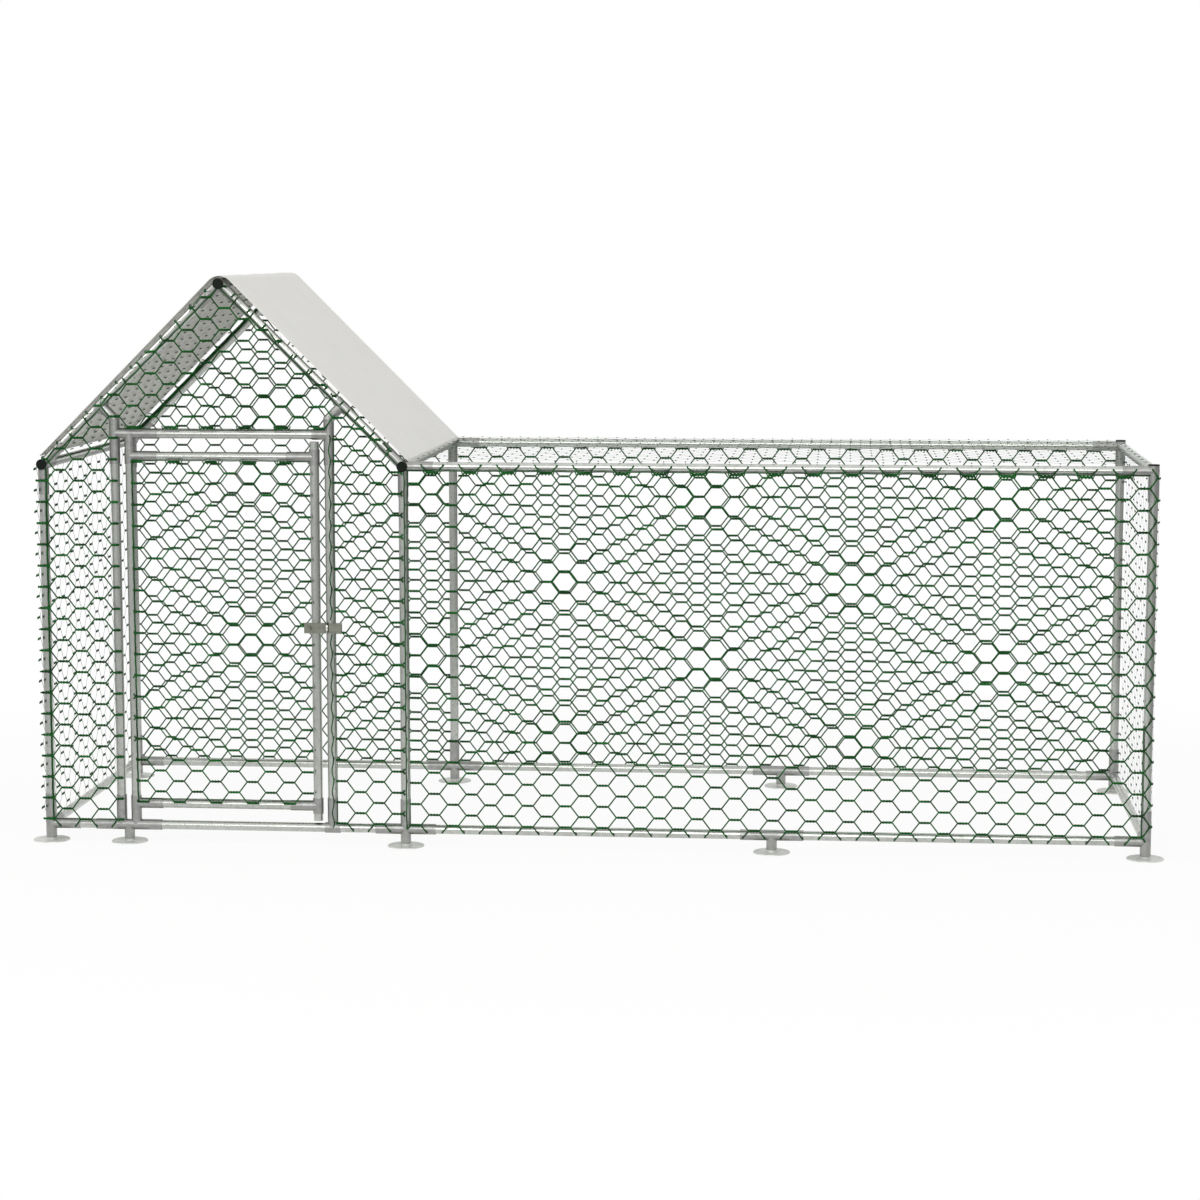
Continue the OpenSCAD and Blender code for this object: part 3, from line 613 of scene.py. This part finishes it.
# %% Lacing
LACE_LENGTH = 46 * MM
LACE_TURNS = 5
LACE_STEPS = 8
LACE_R = 4.4 * MM
LACE_WIRE = 1.7 * MM


def even_wire(count, half_width):
    """The same half width and half depth at each of count points."""
    return np.tile((half_width, FLAT * half_width), (count, 1))


def lacing(panel, first, row, low, high, odd=1):
    """Coils round the twists of one row between low and high, in the same form as the wires."""
    origin, along, across, outward = (np.array(part, float) for part in panel)
    t = np.linspace(0, 1, LACE_STEPS * LACE_TURNS + 1)[:, None]
    turn = 2 * math.pi * LACE_TURNS * t
    start = math.ceil((low - first[0]) / COLUMN)
    end = math.floor((high - first[0]) / COLUMN) + 1
    runs = []
    for column in range(start, end):
        if column % 2 == odd:
            u = first[0] + column * COLUMN + LACE_LENGTH * (t - 0.5)
            v = first[1] + (row + odd / 2) * ROW + LACE_R * np.cos(turn)
            h = LIFT + FLAT * LACE_R * np.sin(turn)
            coil = origin + u * along + v * across + h * outward
            runs.append((coil, np.repeat(outward[None], len(t), 0), even_wire(len(t), LACE_WIRE)))
    return runs


print(f"a lace winds {LACE_TURNS} times in {LACE_LENGTH / MM:.0f} mm")

# %% [markdown]
# A selvedge wire runs along the edge of the net. It is pulled against the tube and follows it with a
# slight wave, so from in front it is a dark green line down one side of the tube, and it lies over the
# sockets too. A curve with a bevel could draw it; as a path like the others it joins the net's own mesh.

# %% Selvedge wires
SELVEDGE_R = 14.7 * MM
SELVEDGE_STEP = 8 * MM
SELVEDGE_WIRE = 1.7 * MM
DOUBLE_WIRE = 2.4 * MM
THIN_WIRE = 0.9 * MM
# Swing of the wave, in radians round the tube, on a wire that is pulled tight and on a looser one
TIGHT_WAVE = 0.04
LOOSE_WAVE = 0.16


def selvedge(start, end, face, side, lean, gap=None, wire=SELVEDGE_WIRE, wave=TIGHT_WAVE):
    """A wire along a tube from start to end, on its face and turned lean degrees from there to its side.
    gap is a span of heights that an upright wire leaves free."""
    start, end, face, side = (np.array(part, float) for part in (start, end, face, side))
    length = np.linalg.norm(end - start)
    t = np.linspace(0, 1, int(length / SELVEDGE_STEP) + 2)[:, None]
    turn = np.radians(lean) + wave * np.sin(2 * math.pi * t * length / ROW)
    away = np.cos(turn) * face + np.sin(turn) * side
    places = start + (end - start) * t + SELVEDGE_R * away
    pieces = [slice(None)]
    if gap:
        below, above = (t[:, 0] * length < g - start[2] for g in gap)
        pieces = [below, ~above]
    return [(places[piece], away[piece], even_wire(len(places[piece]), wire)) for piece in pieces]


print(f"selvedges lie {SELVEDGE_R / MM:.1f} mm from a tube's centre line")

# %% [markdown]
# A path becomes a wire when a ring of corners travels along it. A curve object could do that by itself,
# but its wires would be round, and these are pressed flat. Five corners are enough at this size. There
# are so many rings that they are made as arrays and handed to Blender in one go, which is far quicker
# than face by face.

# %% Skin the wires
SIDES = 5


def skin(runs):
    """Corners of all the wires, their four-sided faces, and the faces that close their ends."""
    ring = np.arange(SIDES)
    around = 2 * math.pi * ring / SIDES
    corners, quads, ends, count = [], [], [], 0
    for places, away, thick in runs:
        heading = np.gradient(places, axis=0)
        heading /= np.linalg.norm(heading, axis=1, keepdims=True)
        side = np.cross(heading, away)
        side /= np.linalg.norm(side, axis=1, keepdims=True)
        out = np.cross(side, heading)
        wide = thick[:, 0, None, None] * np.sin(around)[:, None] * side[:, None, :]
        deep = thick[:, 1, None, None] * np.cos(around)[:, None] * out[:, None, :]
        corners.append((places[:, None, :] + wide + deep).reshape(-1, 3))
        start = count + SIDES * np.arange(len(places) - 1)[:, None]
        here, there = start + ring, start + (ring + 1) % SIDES
        quads.append(np.stack([here, there, there + SIDES, here + SIDES], axis=-1).reshape(-1, 4))
        ends.append(count + ring[::-1])
        count += SIDES * len(places)
        ends.append(count - SIDES + ring)
    return np.concatenate(corners), np.concatenate(quads), np.concatenate(ends)


def wire_piece(name, runs, body, node):
    """A mesh of wires that stands for a net's node and rides on a body."""
    corners, quads, ends = skin(runs)
    starts = np.concatenate([np.arange(0, quads.size, 4), quads.size + np.arange(0, ends.size, SIDES)])
    mesh = bpy.data.meshes.new(name)
    mesh.vertices.add(len(corners))
    mesh.vertices.foreach_set("co", corners.astype(np.float32).ravel())
    mesh.loops.add(quads.size + ends.size)
    mesh.loops.foreach_set("vertex_index", np.concatenate([quads.ravel(), ends]).astype(np.int32))
    mesh.polygons.add(len(starts))
    mesh.polygons.foreach_set("loop_start", starts.astype(np.int32))
    mesh.update(calc_edges=True)
    mesh.shade_smooth()
    mesh.materials.append(green_wire)
    piece = bpy.data.objects.new(name, mesh)
    bpy.context.scene.collection.objects.link(piece)
    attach(piece, body)
    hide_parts(node)
    print(f"{name}: {len(runs)} runs of wire, {len(starts)} faces")


print("a wire has", SIDES, "sides")

# %% [markdown]
# The front, back, left, right, top and roof nets differ only in the plane that they lie in and in the
# tubes at their edges. Each could be woven flat and turned into place as an object. Here a plane is a
# starting point with three directions, because a net that bends round tubes needs them in any case.

# %% Planes of the nets
X_WAY, Y_WAY, Z_WAY = (1, 0, 0), (0, 1, 0), (0, 0, 1)
FORWARD, LEFTWARD = (0, -1, 0), (-1, 0, 0)
COS, SIN = math.cos(PITCH), math.sin(PITCH)
FRONT = ((0, Y_FRONT, 0), X_WAY, Z_WAY, FORWARD)
BACK = ((0, Y_BACK, 0), X_WAY, Z_WAY, Y_WAY)
LEFT = ((X_LEFT, 0, 0), Y_WAY, Z_WAY, LEFTWARD)
RIGHT = ((X_RIGHT, 0, 0), Y_WAY, Z_WAY, X_WAY)
TOP = ((0, 0, Z_EAVE), Y_WAY, X_WAY, Z_WAY)
LEFT_SLOPE = ((X_LEFT, 0, Z_EAVE), Y_WAY, (COS, 0, SIN), (-SIN, 0, COS))
RIGHT_SLOPE = ((X_MID, 0, Z_EAVE), Y_WAY, (-COS, 0, SIN), (SIN, 0, COS))
START, END = range(2)


def box_edges(low, high, over_low, over_high, flat=None):
    """Edges of a panel from low to high, each (along, across), and how far the wires run on over each.
    Over the edge that flat names, START or END, they run straight on, and over the others they bend."""
    sides = [(-1, 0, -low[0], over_low[0]), (1, 0, high[0], over_high[0]),
             (0, -1, -low[1], over_low[1]), (0, 1, high[1], over_high[1])]
    return [(*side, 0 if edge == flat else BEND) for edge, side in enumerate(sides)]


def gable_edges(low, right, over_low, over_right, rafters, flat=None):
    """Edges of a wall under the roof: left, right and bottom as in box_edges, and rafters over it."""
    return box_edges(low, (right, Z_RIDGE), over_low, (over_right, 0), flat)[:3] + rafters


print("the right slope faces", [round(v, 2) for v in RIGHT_SLOPE[3]])

# %% [markdown]
# On the real run each length of net is hung a little differently, so its first twist and its overlap over
# each tube are its own. They could be left to chance, but then no mesh would line up with the photograph,
# so they were read off it. The strips beside the door and both gables share their rows and columns.

# %% Overlaps and first twists
# How far a net runs on past a tube's centre line; a negative length ends it short of that line
OVER_RAFTER, OVER_HINGE_POST = 12 * MM, 12 * MM
OVER_CORNER, OVER_RAIL, OVER_POST, OVER_TOP_RAIL = 13 * MM, 11 * MM, 5 * MM, 10 * MM
PAST_CORNER, PAST_END_WALL, OVER_HEAD, OVER_GABLE = 17 * MM, 31 * MM, 24 * MM, 26 * MM
TO_SELVEDGE, AT_SELVEDGE, AT_MID_POST = -5 * MM, -9 * MM, 2 * MM
ABOVE_LINTEL, UNDER_HEM = -14 * MM, -8 * MM
SHORT_OF_RAIL, SHORT_OF_STILE = -3 * MM, -2 * MM
# The middle of a net's first twist, along and across its plane
HOUSE_FIRST, RUN_FIRST = (89.5 * MM, 33.4 * MM), (36.9 * MM, 3.3 * MM)
LEFT_FIRST, RIGHT_FIRST = (1.9 * MM, 36.7 * MM), (71.9 * MM, 0.2 * MM)
TOP_FIRST, DOOR_FIRST = (73.5 * MM, 53.3 * MM), (46.8 * MM, 27 * MM)
LEFT_ROOF_FIRST, RIGHT_ROOF_FIRST = (22 * MM, 12 * MM), (47 * MM, 31 * MM)
print(f"the left wall's net runs {PAST_END_WALL / MM:.0f} mm past its front post")

# %% Where each net lies
# The rafters as edges of a front or back wall
LEFT_RAFTER = (-SIN, COS, COS * Z_RIDGE - SIN * X_RIDGE, OVER_RAFTER, BEND)
RIGHT_RAFTER = (SIN, COS, COS * Z_RIDGE + SIN * X_RIDGE, OVER_RAFTER, BEND)
WALL_LOW, WALL_HIGH = (Y_FRONT, Z_RAIL), (Y_BACK, Z_EAVE)
RUN_SIDE = box_edges(
    (X_MID, Z_RAIL), (X_RIGHT, Z_EAVE), (TO_SELVEDGE, OVER_RAIL), (OVER_CORNER, OVER_TOP_RAIL))
ROOF_SIDE = box_edges((Y_FRONT, 0), (Y_BACK, RAFTER), (OVER_GABLE, UNDER_HEM), (OVER_GABLE, 0))
# Each net: its plane, first twist, gauge, body and edges
NETS = {
    "front_net_left": (FRONT, HOUSE_FIRST, HEAVY, "frame", gable_edges(
        (X_LEFT, Z_RAIL), X_HINGE_POST, (PAST_CORNER, OVER_RAIL), OVER_HINGE_POST, [LEFT_RAFTER], START)),
    "front_net_right": (FRONT, HOUSE_FIRST, HEAVY, "frame", gable_edges(
        (X_LATCH_POST, Z_RAIL), X_MID, (AT_SELVEDGE, OVER_RAIL), AT_MID_POST, [RIGHT_RAFTER])),
    "front_net_gable": (FRONT, HOUSE_FIRST, HEAVY, "frame", gable_edges(
        (X_HINGE_POST, Z_LINTEL), X_LATCH_POST, (OVER_POST, ABOVE_LINTEL), OVER_HEAD,
        [LEFT_RAFTER, RIGHT_RAFTER], END)),
    "back_net_gable": (BACK, HOUSE_FIRST, HEAVY, "frame", gable_edges(
        (X_LEFT, Z_RAIL), X_MID, (OVER_CORNER, OVER_RAIL), OVER_POST, [LEFT_RAFTER, RIGHT_RAFTER])),
    "left_net": (LEFT, LEFT_FIRST, LEFT_WALL, "frame", box_edges(
        WALL_LOW, WALL_HIGH, (PAST_END_WALL, OVER_RAIL), (OVER_CORNER, OVER_POST), START)),
    "run_right_net": (RIGHT, RIGHT_FIRST, RIGHT_WALL, "frame", box_edges(
        WALL_LOW, WALL_HIGH, (OVER_CORNER, OVER_RAIL), (OVER_CORNER, OVER_POST))),
    "run_front_net": (FRONT, RUN_FIRST, HEAVY, "frame", RUN_SIDE),
    "back_net_run": (BACK, RUN_FIRST, HEAVY, "frame", RUN_SIDE),
    "run_top_net": (TOP, TOP_FIRST, FINE, "frame", box_edges(
        (Y_FRONT, X_MID), (Y_BACK, X_RIGHT), (OVER_POST, 0), (OVER_POST, OVER_POST))),
    "roof_net_left": (LEFT_SLOPE, LEFT_ROOF_FIRST, UNDER_ROOF, "frame", ROOF_SIDE),
    "roof_net_right": (RIGHT_SLOPE, RIGHT_ROOF_FIRST, UNDER_ROOF, "frame", ROOF_SIDE),
    "door_net": (FRONT, DOOR_FIRST, HEAVY, "door", box_edges(
        (X_HINGE_STILE, Z_DOOR_LOW), (X_LATCH_STILE, Z_DOOR_HIGH),
        (0, SHORT_OF_RAIL), (SHORT_OF_STILE, SHORT_OF_RAIL))),
}
print(len(NETS), "nets")

# %% [markdown]
# Most edges of the nets show as dark green lines beside the tubes. These lines could be left to the cut
# ends alone, but on the real run a stout selvedge wire makes them, so each net gets its own. Some of these
# wires are also painted shade: along the bottom rails, the left eave, the back left rafter and the foot of
# the front right post they are dark lines put where the tubes' edges lie in shade. The middle post and the
# latch post have two, and on the latch post the inner one leaves the keeper free.

# %% Places of the selvedges
KEEPER_CLEAR = 4 * MM
keeper_low, keeper_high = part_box("latch_keeper")
KEEPER_GAP = (keeper_low.z - KEEPER_CLEAR, keeper_high.z + KEEPER_CLEAR)
# How far round its tube a wire lies, in degrees from the front of the tube: to the right on a post,
# upwards on a rail and downwards on a rafter. The wire on the eave starts from the tube's inner side.
CORNER_LEAN, RIGHT_POST_LEAN, HINGE_STILE_LEAN = 42, -58, 36
LATCH_OUTER_LEAN, LATCH_INNER_LEAN = 72, 14
MID_HOUSE_LEAN, MID_RUN_LEAN = 18, 66
RAIL_TOP, RAIL_UNDER, SILL_TOP, SILL_LEFT = 70, -48, 48, 66
LEFT_RAFTER_LEAN, RIGHT_RAFTER_LEAN, BACK_RAFTER_SHADE_LEANS = 29, 24, (-16, -40)
EAVE_LEAN = 43
# The double wire low on the front right post is painted shade, a dark line where the post's side lies in
# shade, and it ends at this height.
RIGHT_POST_SHADE_TOP = 0.36


def upright(x, lean, low, high, **how):
    """A selvedge wire up a front post."""
    return selvedge((x, Y_FRONT, low), (x, Y_FRONT, high), FORWARD, X_WAY, lean, **how)


def along_rail(z, lean, low, high, **how):
    """A selvedge wire along a front rail."""
    return selvedge((low, Y_FRONT, z), (high, Y_FRONT, z), FORWARD, Z_WAY, lean, **how)


def up_rafter(x, lean, y=Y_FRONT, **how):
    """A selvedge wire on the front of a rafter, from the eave at x to the ridge."""
    below = (SIN if x < X_RIDGE else -SIN, 0, -COS)
    return selvedge((x, y, Z_EAVE), (X_RIDGE, y, Z_RIDGE), FORWARD, below, lean, **how)


print("heights left free for the keeper:", [round(z, 3) for z in KEEPER_GAP])

# %% Selvedges of each net
SELVEDGES = {
    "front_net_left": [
        *upright(X_LEFT, CORNER_LEAN, Z_RAIL, Z_EAVE, wire=DOUBLE_WIRE),
        # Along the bottom rail this wire is also a painted shade line on the rail's top edge.
        *along_rail(Z_RAIL, SILL_LEFT, X_LEFT, X_HINGE_POST)],
    "front_net_right": [
        *upright(X_LATCH_POST, LATCH_OUTER_LEAN, Z_RAIL, Z_LINTEL),
        *upright(X_LATCH_POST, LATCH_INNER_LEAN, Z_RAIL, Z_LINTEL, gap=KEEPER_GAP, wave=LOOSE_WAVE),
        *upright(X_MID, MID_HOUSE_LEAN, Z_RAIL, Z_EAVE),
        # Along the bottom rail this wire is also a painted shade line on the rail's top edge.
        *along_rail(Z_RAIL, SILL_TOP, X_LATCH_POST, X_MID, wire=THIN_WIRE)],
    "front_net_gable": [
        *along_rail(Z_LINTEL, RAIL_TOP, X_HINGE_POST, X_LATCH_POST),
        *up_rafter(X_LEFT, LEFT_RAFTER_LEAN),
        *up_rafter(X_MID, RIGHT_RAFTER_LEAN)],
    # Along the left eave the selvedge is also painted shade: a dark line on the tube's lower side, which
    # lies in shade under the sheet.
    "left_net": selvedge((X_LEFT, Y_FRONT, Z_EAVE), (X_LEFT, Y_BACK, Z_EAVE), X_WAY, Z_WAY, EAVE_LEAN),
    # The two double wires on the back left rafter are painted shade as well as selvedge: they darken the
    # rafter's underside, which lies in shade under the sheet.
    "back_net_gable": [
        run for lean in BACK_RAFTER_SHADE_LEANS for run in up_rafter(X_LEFT, lean, Y_BACK, wire=DOUBLE_WIRE)],
    "run_front_net": [
        *upright(X_MID, MID_RUN_LEAN, Z_RAIL, Z_EAVE),
        # Along the bottom rail this wire is also a painted shade line on the rail's top edge.
        *along_rail(Z_RAIL, SILL_TOP, X_MID, X_RIGHT, wire=THIN_WIRE),
        *along_rail(Z_EAVE, RAIL_UNDER, X_MID, X_RIGHT, wire=DOUBLE_WIRE),
        *upright(X_RIGHT, RIGHT_POST_LEAN, Z_RAIL, RIGHT_POST_SHADE_TOP, wire=DOUBLE_WIRE)],
    "door_net": [
        *upright(X_HINGE_STILE, HINGE_STILE_LEAN, Z_DOOR_LOW, Z_DOOR_HIGH),
        *along_rail(Z_DOOR_LOW, RAIL_TOP, X_HINGE_STILE, X_LATCH_STILE),
        *along_rail(Z_DOOR_HIGH, RAIL_UNDER, X_HINGE_STILE, X_LATCH_STILE)],
}
print("selvedge wires:", {net: len(runs) for net, runs in SELVEDGES.items()})

# %% [markdown]
# At the left corner post the ends of the twists stand out past the tube as short pegs, one to each row.
# The net's own wires could be made to end in them, but all their other ends are bent round a tube, so
# the pegs are short straight wires of their own in the same mesh.

# %% Pegs
PEG = (13 * MM, 18 * MM)
PEG_ROWS = range(1, 18)
PEG_POINTS = 6
for row in PEG_ROWS:
    peg = np.empty((PEG_POINTS, 3))
    peg[:, 0] = X_LEFT - np.linspace(*PEG, PEG_POINTS)
    peg[:, 1:] = Y_FRONT - LIFT, HOUSE_FIRST[1] + (row - 0.5) * ROW
    facing = np.tile(np.array(FORWARD, float), (PEG_POINTS, 1))
    SELVEDGES["front_net_left"].append((peg, facing, even_wire(PEG_POINTS, HEAVY[0])))
print(len(PEG_ROWS), "pegs")

# %% [markdown]
# Now each net is woven, laced where it is laced, and skinned as one piece that stands for its flat plate
# in the frame. One mesh for all the netting would be simpler still, but the door's net has to swing
# with the door, and a net by itself can be hidden or changed.

# %% Weave the nets
CLEAR_OF_POST = 30 * MM
TOP_ROW, LINTEL_ROW, EVEN = 17, 19, 0
RUN_LACED = (TOP_ROW, X_MID + CLEAR_OF_POST, X_RIGHT - CLEAR_OF_POST)
# Laced rows: the row's number, the part of the tube along which it runs, and EVEN for even columns
LACED = {
    "run_front_net": RUN_LACED,
    "back_net_run": RUN_LACED,
    "door_net": (TOP_ROW, X_HINGE_STILE + CLEAR_OF_POST, X_LATCH_STILE - CLEAR_OF_POST),
    "front_net_gable": (LINTEL_ROW, X_HINGE_POST + CLEAR_OF_POST, X_LATCH_POST - CLEAR_OF_POST, EVEN),
}
for net, (panel, first, gauge, body, edges) in NETS.items():
    runs = wires_on_panel(panel, edges, first, gauge)
    if net in LACED:
        runs += lacing(panel, first, *LACED[net])
    runs += SELVEDGES.get(net, [])
    wire_piece(net + "_wires", runs, body, net)

# %% [markdown]
# ## Bolt
# The end of the flat bolt is rubbed bright by use, and its near-white colour is also a painted highlight:
# it stands for the one light spot on the latch. It is the same zinc as the rest of the latch with the olive
# film worn off: paler, warmer and smoother.
# Wear could be masked into the latch's own finish, but a finish for the nose alone is easier to follow.

# %% Rubbed zinc with a painted highlight
POLISH = 4 * MM
highlight_zinc, tree, shader = new_finish("rubbed_zinc_with_painted_highlight", Metallic=1.0, Roughness=0.3)
place = add_node(tree, "ShaderNodeTexCoord").outputs["Object"]
rubbed = add_node(tree, "ShaderNodeTexNoise", {"Vector": place, "Scale": 1 / POLISH, "Detail": 2.0})
ramp = add_node(tree, "ShaderNodeValToRGB", {"Fac": rubbed.outputs["Fac"]})
set_tones(ramp, (0.3, "#e4e2d8"), (0.7, "#f6f4ea"))
join_shader(tree, shader, Base_Color=ramp.outputs["Color"])
print(f"{highlight_zinc.name}: rubbed in patches of {POLISH / MM:.0f} mm")

# %% [markdown]
# The nose looks out of its guide by a few millimetres, and its edges are rounded so that it finds the
# keeper. The bolt's own solid could be rounded, but the frame's solids stay as they are. A block with a
# Bevel modifier is the short way to a rounded end, and it slides with the bolt.

# %% Nose of the bolt
NOSE = 8 * MM
NOSE_SEAT = 2 * MM
NOSE_THICK = 5 * MM
NOSE_HIGH = 15 * MM
NOSE_ROUND = 2 * MM
bolt_low, bolt_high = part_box("latch_bolt")
nose_x = bolt_high.x + (NOSE - NOSE_SEAT) / 2
nose_place = (nose_x, middle("latch_keeper").y, middle("latch_guide").z)
bpy.ops.mesh.primitive_cube_add(size=1, location=nose_place)
bolt_nose = bpy.context.object
bolt_nose.name = "bolt_nose"
bolt_nose.data.transform(Matrix.Diagonal((NOSE + NOSE_SEAT, NOSE_THICK, NOSE_HIGH, 1)))
rounding = bolt_nose.modifiers.new("rounding", "BEVEL")
rounding.width = NOSE_ROUND
rounding.segments = 3
# The nose's near-white rubbed zinc is a painted highlight as well as worn zinc.
bolt_nose.data.materials.append(highlight_zinc)
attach(bolt_nose, "latch_bolt")
print("bolt from", round(bolt_low.x, 4), "to", round(bolt_high.x + NOSE, 4))

# %% [markdown]
# ## Roof sheet
# The sheet is pulled tight over both slopes and rounds off over the ridge. It has slipped a little to the
# right, so its left edge stops short of the eave and its right edge hangs over. A Cloth simulation could
# drape it, but a stretched sheet hardly sags, so its outline is worked out: two straight runs, joined by
# an arc whose middle lies below the ridge.

# %% Outline of the sheet
SHEET_LIFT = 20.9 * MM
RIDGE_BEND = 40 * MM
LEFT_SHORT = 10 * MM
RIGHT_OVER = 8 * MM
GABLE_OVER = 6 * MM
LEFT_EAVE_LIFT, RIGHT_EAVE_LIFT = 22 * MM, 20.6 * MM
sink = RIDGE_BEND - SHEET_LIFT
# Each slope starts where the arc ends, a little way down the rafter and further out from it.
bend_lift, bend_end = RIDGE_BEND - sink * COS, sink * SIN
arc = RIDGE_BEND * 2 * PITCH
left_run, right_run = RAFTER - LEFT_SHORT - bend_end, RAFTER + RIGHT_OVER - bend_end
half_width = Y_BACK + GABLE_OVER

# %% [markdown]
# Slow waves keep the sheet from looking like a board. They could come from a noise Displace modifier; two
# sums of sines are as quick, and they let the sheet's place be asked for at any point. Every point is
# named by its length along the sheet and its depth, so the weave can follow the flat cloth.

# %% A point on the sheet
RIPPLE = 0.7 * MM
# Waves in radians for a metre along the sheet and across it
LONG_WAVE, SHORT_WAVE = (2.1, 19), (-5, 31)
SHORT_SHARE = 0.6
SWELL, SWELL_START = 3.1, 0.4
LEFT_HALF = (-1, left_run, LEFT_EAVE_LIFT)
RIGHT_HALF = (1, right_run, RIGHT_EAVE_LIFT)


def ripple(s, y):
    """Height of the waves at length s from the sheet's left edge and depth y."""
    long_wave, short_wave = (math.sin(along * s + across * y) for along, across in (LONG_WAVE, SHORT_WAVE))
    return RIPPLE * (long_wave * math.sin(SWELL * s + SWELL_START) + SHORT_SHARE * short_wave)


def sheet_point(s, y):
    """Place on the sheet at length s from its left edge and depth y."""
    from_ridge = s - left_run - arc / 2
    side, run, eave_lift = RIGHT_HALF if from_ridge > 0 else LEFT_HALF
    lean = min(abs(from_ridge) / RIDGE_BEND, PITCH)
    down = max(abs(from_ridge) - arc / 2, 0)
    lift = RIDGE_BEND - (bend_lift - eave_lift) * down / run + ripple(s, y)
    x = side * (down * COS + lift * math.sin(lean))
    return X_RIDGE + x, y, Z_RIDGE - sink - down * SIN + lift * math.cos(lean)


print("middle of the ridge at", [round(v, 4) for v in sheet_point(left_run + arc / 2, 0)])

# %% [markdown]
# The sheet is one continuous grid of faces, finer over the ridge, where it turns. Its UV map holds the
# flat lengths in metres, which keeps the tapes the same width everywhere. A Solidify modifier gives it
# its thickness, so that its cut edges show.

# %% Lay the sheet
SHEET_T = 0.8 * MM
SLOPE_STEPS, RIDGE_STEPS, WIDTH_STEPS = 48, 16, 64
stations = np.concatenate([
    np.linspace(0, left_run, SLOPE_STEPS, endpoint=False),
    left_run + np.linspace(0, arc, RIDGE_STEPS, endpoint=False),
    left_run + arc + np.linspace(0, right_run, SLOPE_STEPS + 1),
])
depths = np.linspace(-half_width, half_width, WIDTH_STEPS + 1)
across = len(depths)
faces = [
    (i * across + j, i * across + j + 1, (i + 1) * across + j + 1, (i + 1) * across + j)
    for i in range(len(stations) - 1) for j in range(WIDTH_STEPS)
]
sheet_mesh = bpy.data.meshes.new("roof_sheet")
sheet_mesh.from_pydata([sheet_point(s, y) for s in stations for y in depths], [], faces)
cloth = sheet_mesh.uv_layers.new(name="cloth")
for loop in sheet_mesh.loops:
    i, j = divmod(loop.vertex_index, across)
    cloth.data[loop.index].uv = (depths[j] + half_width, stations[i])
sheet_mesh.shade_smooth()
sheet_mesh.materials.append(cover_cloth)
roof_sheet = bpy.data.objects.new("roof_sheet", sheet_mesh)
bpy.context.scene.collection.objects.link(roof_sheet)
thickness = roof_sheet.modifiers.new("thickness", "SOLIDIFY")
thickness.thickness = SHEET_T
thickness.offset = 0.0
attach(roof_sheet, "frame")
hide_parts("roof_cover")
print(len(faces), "faces on the sheet")
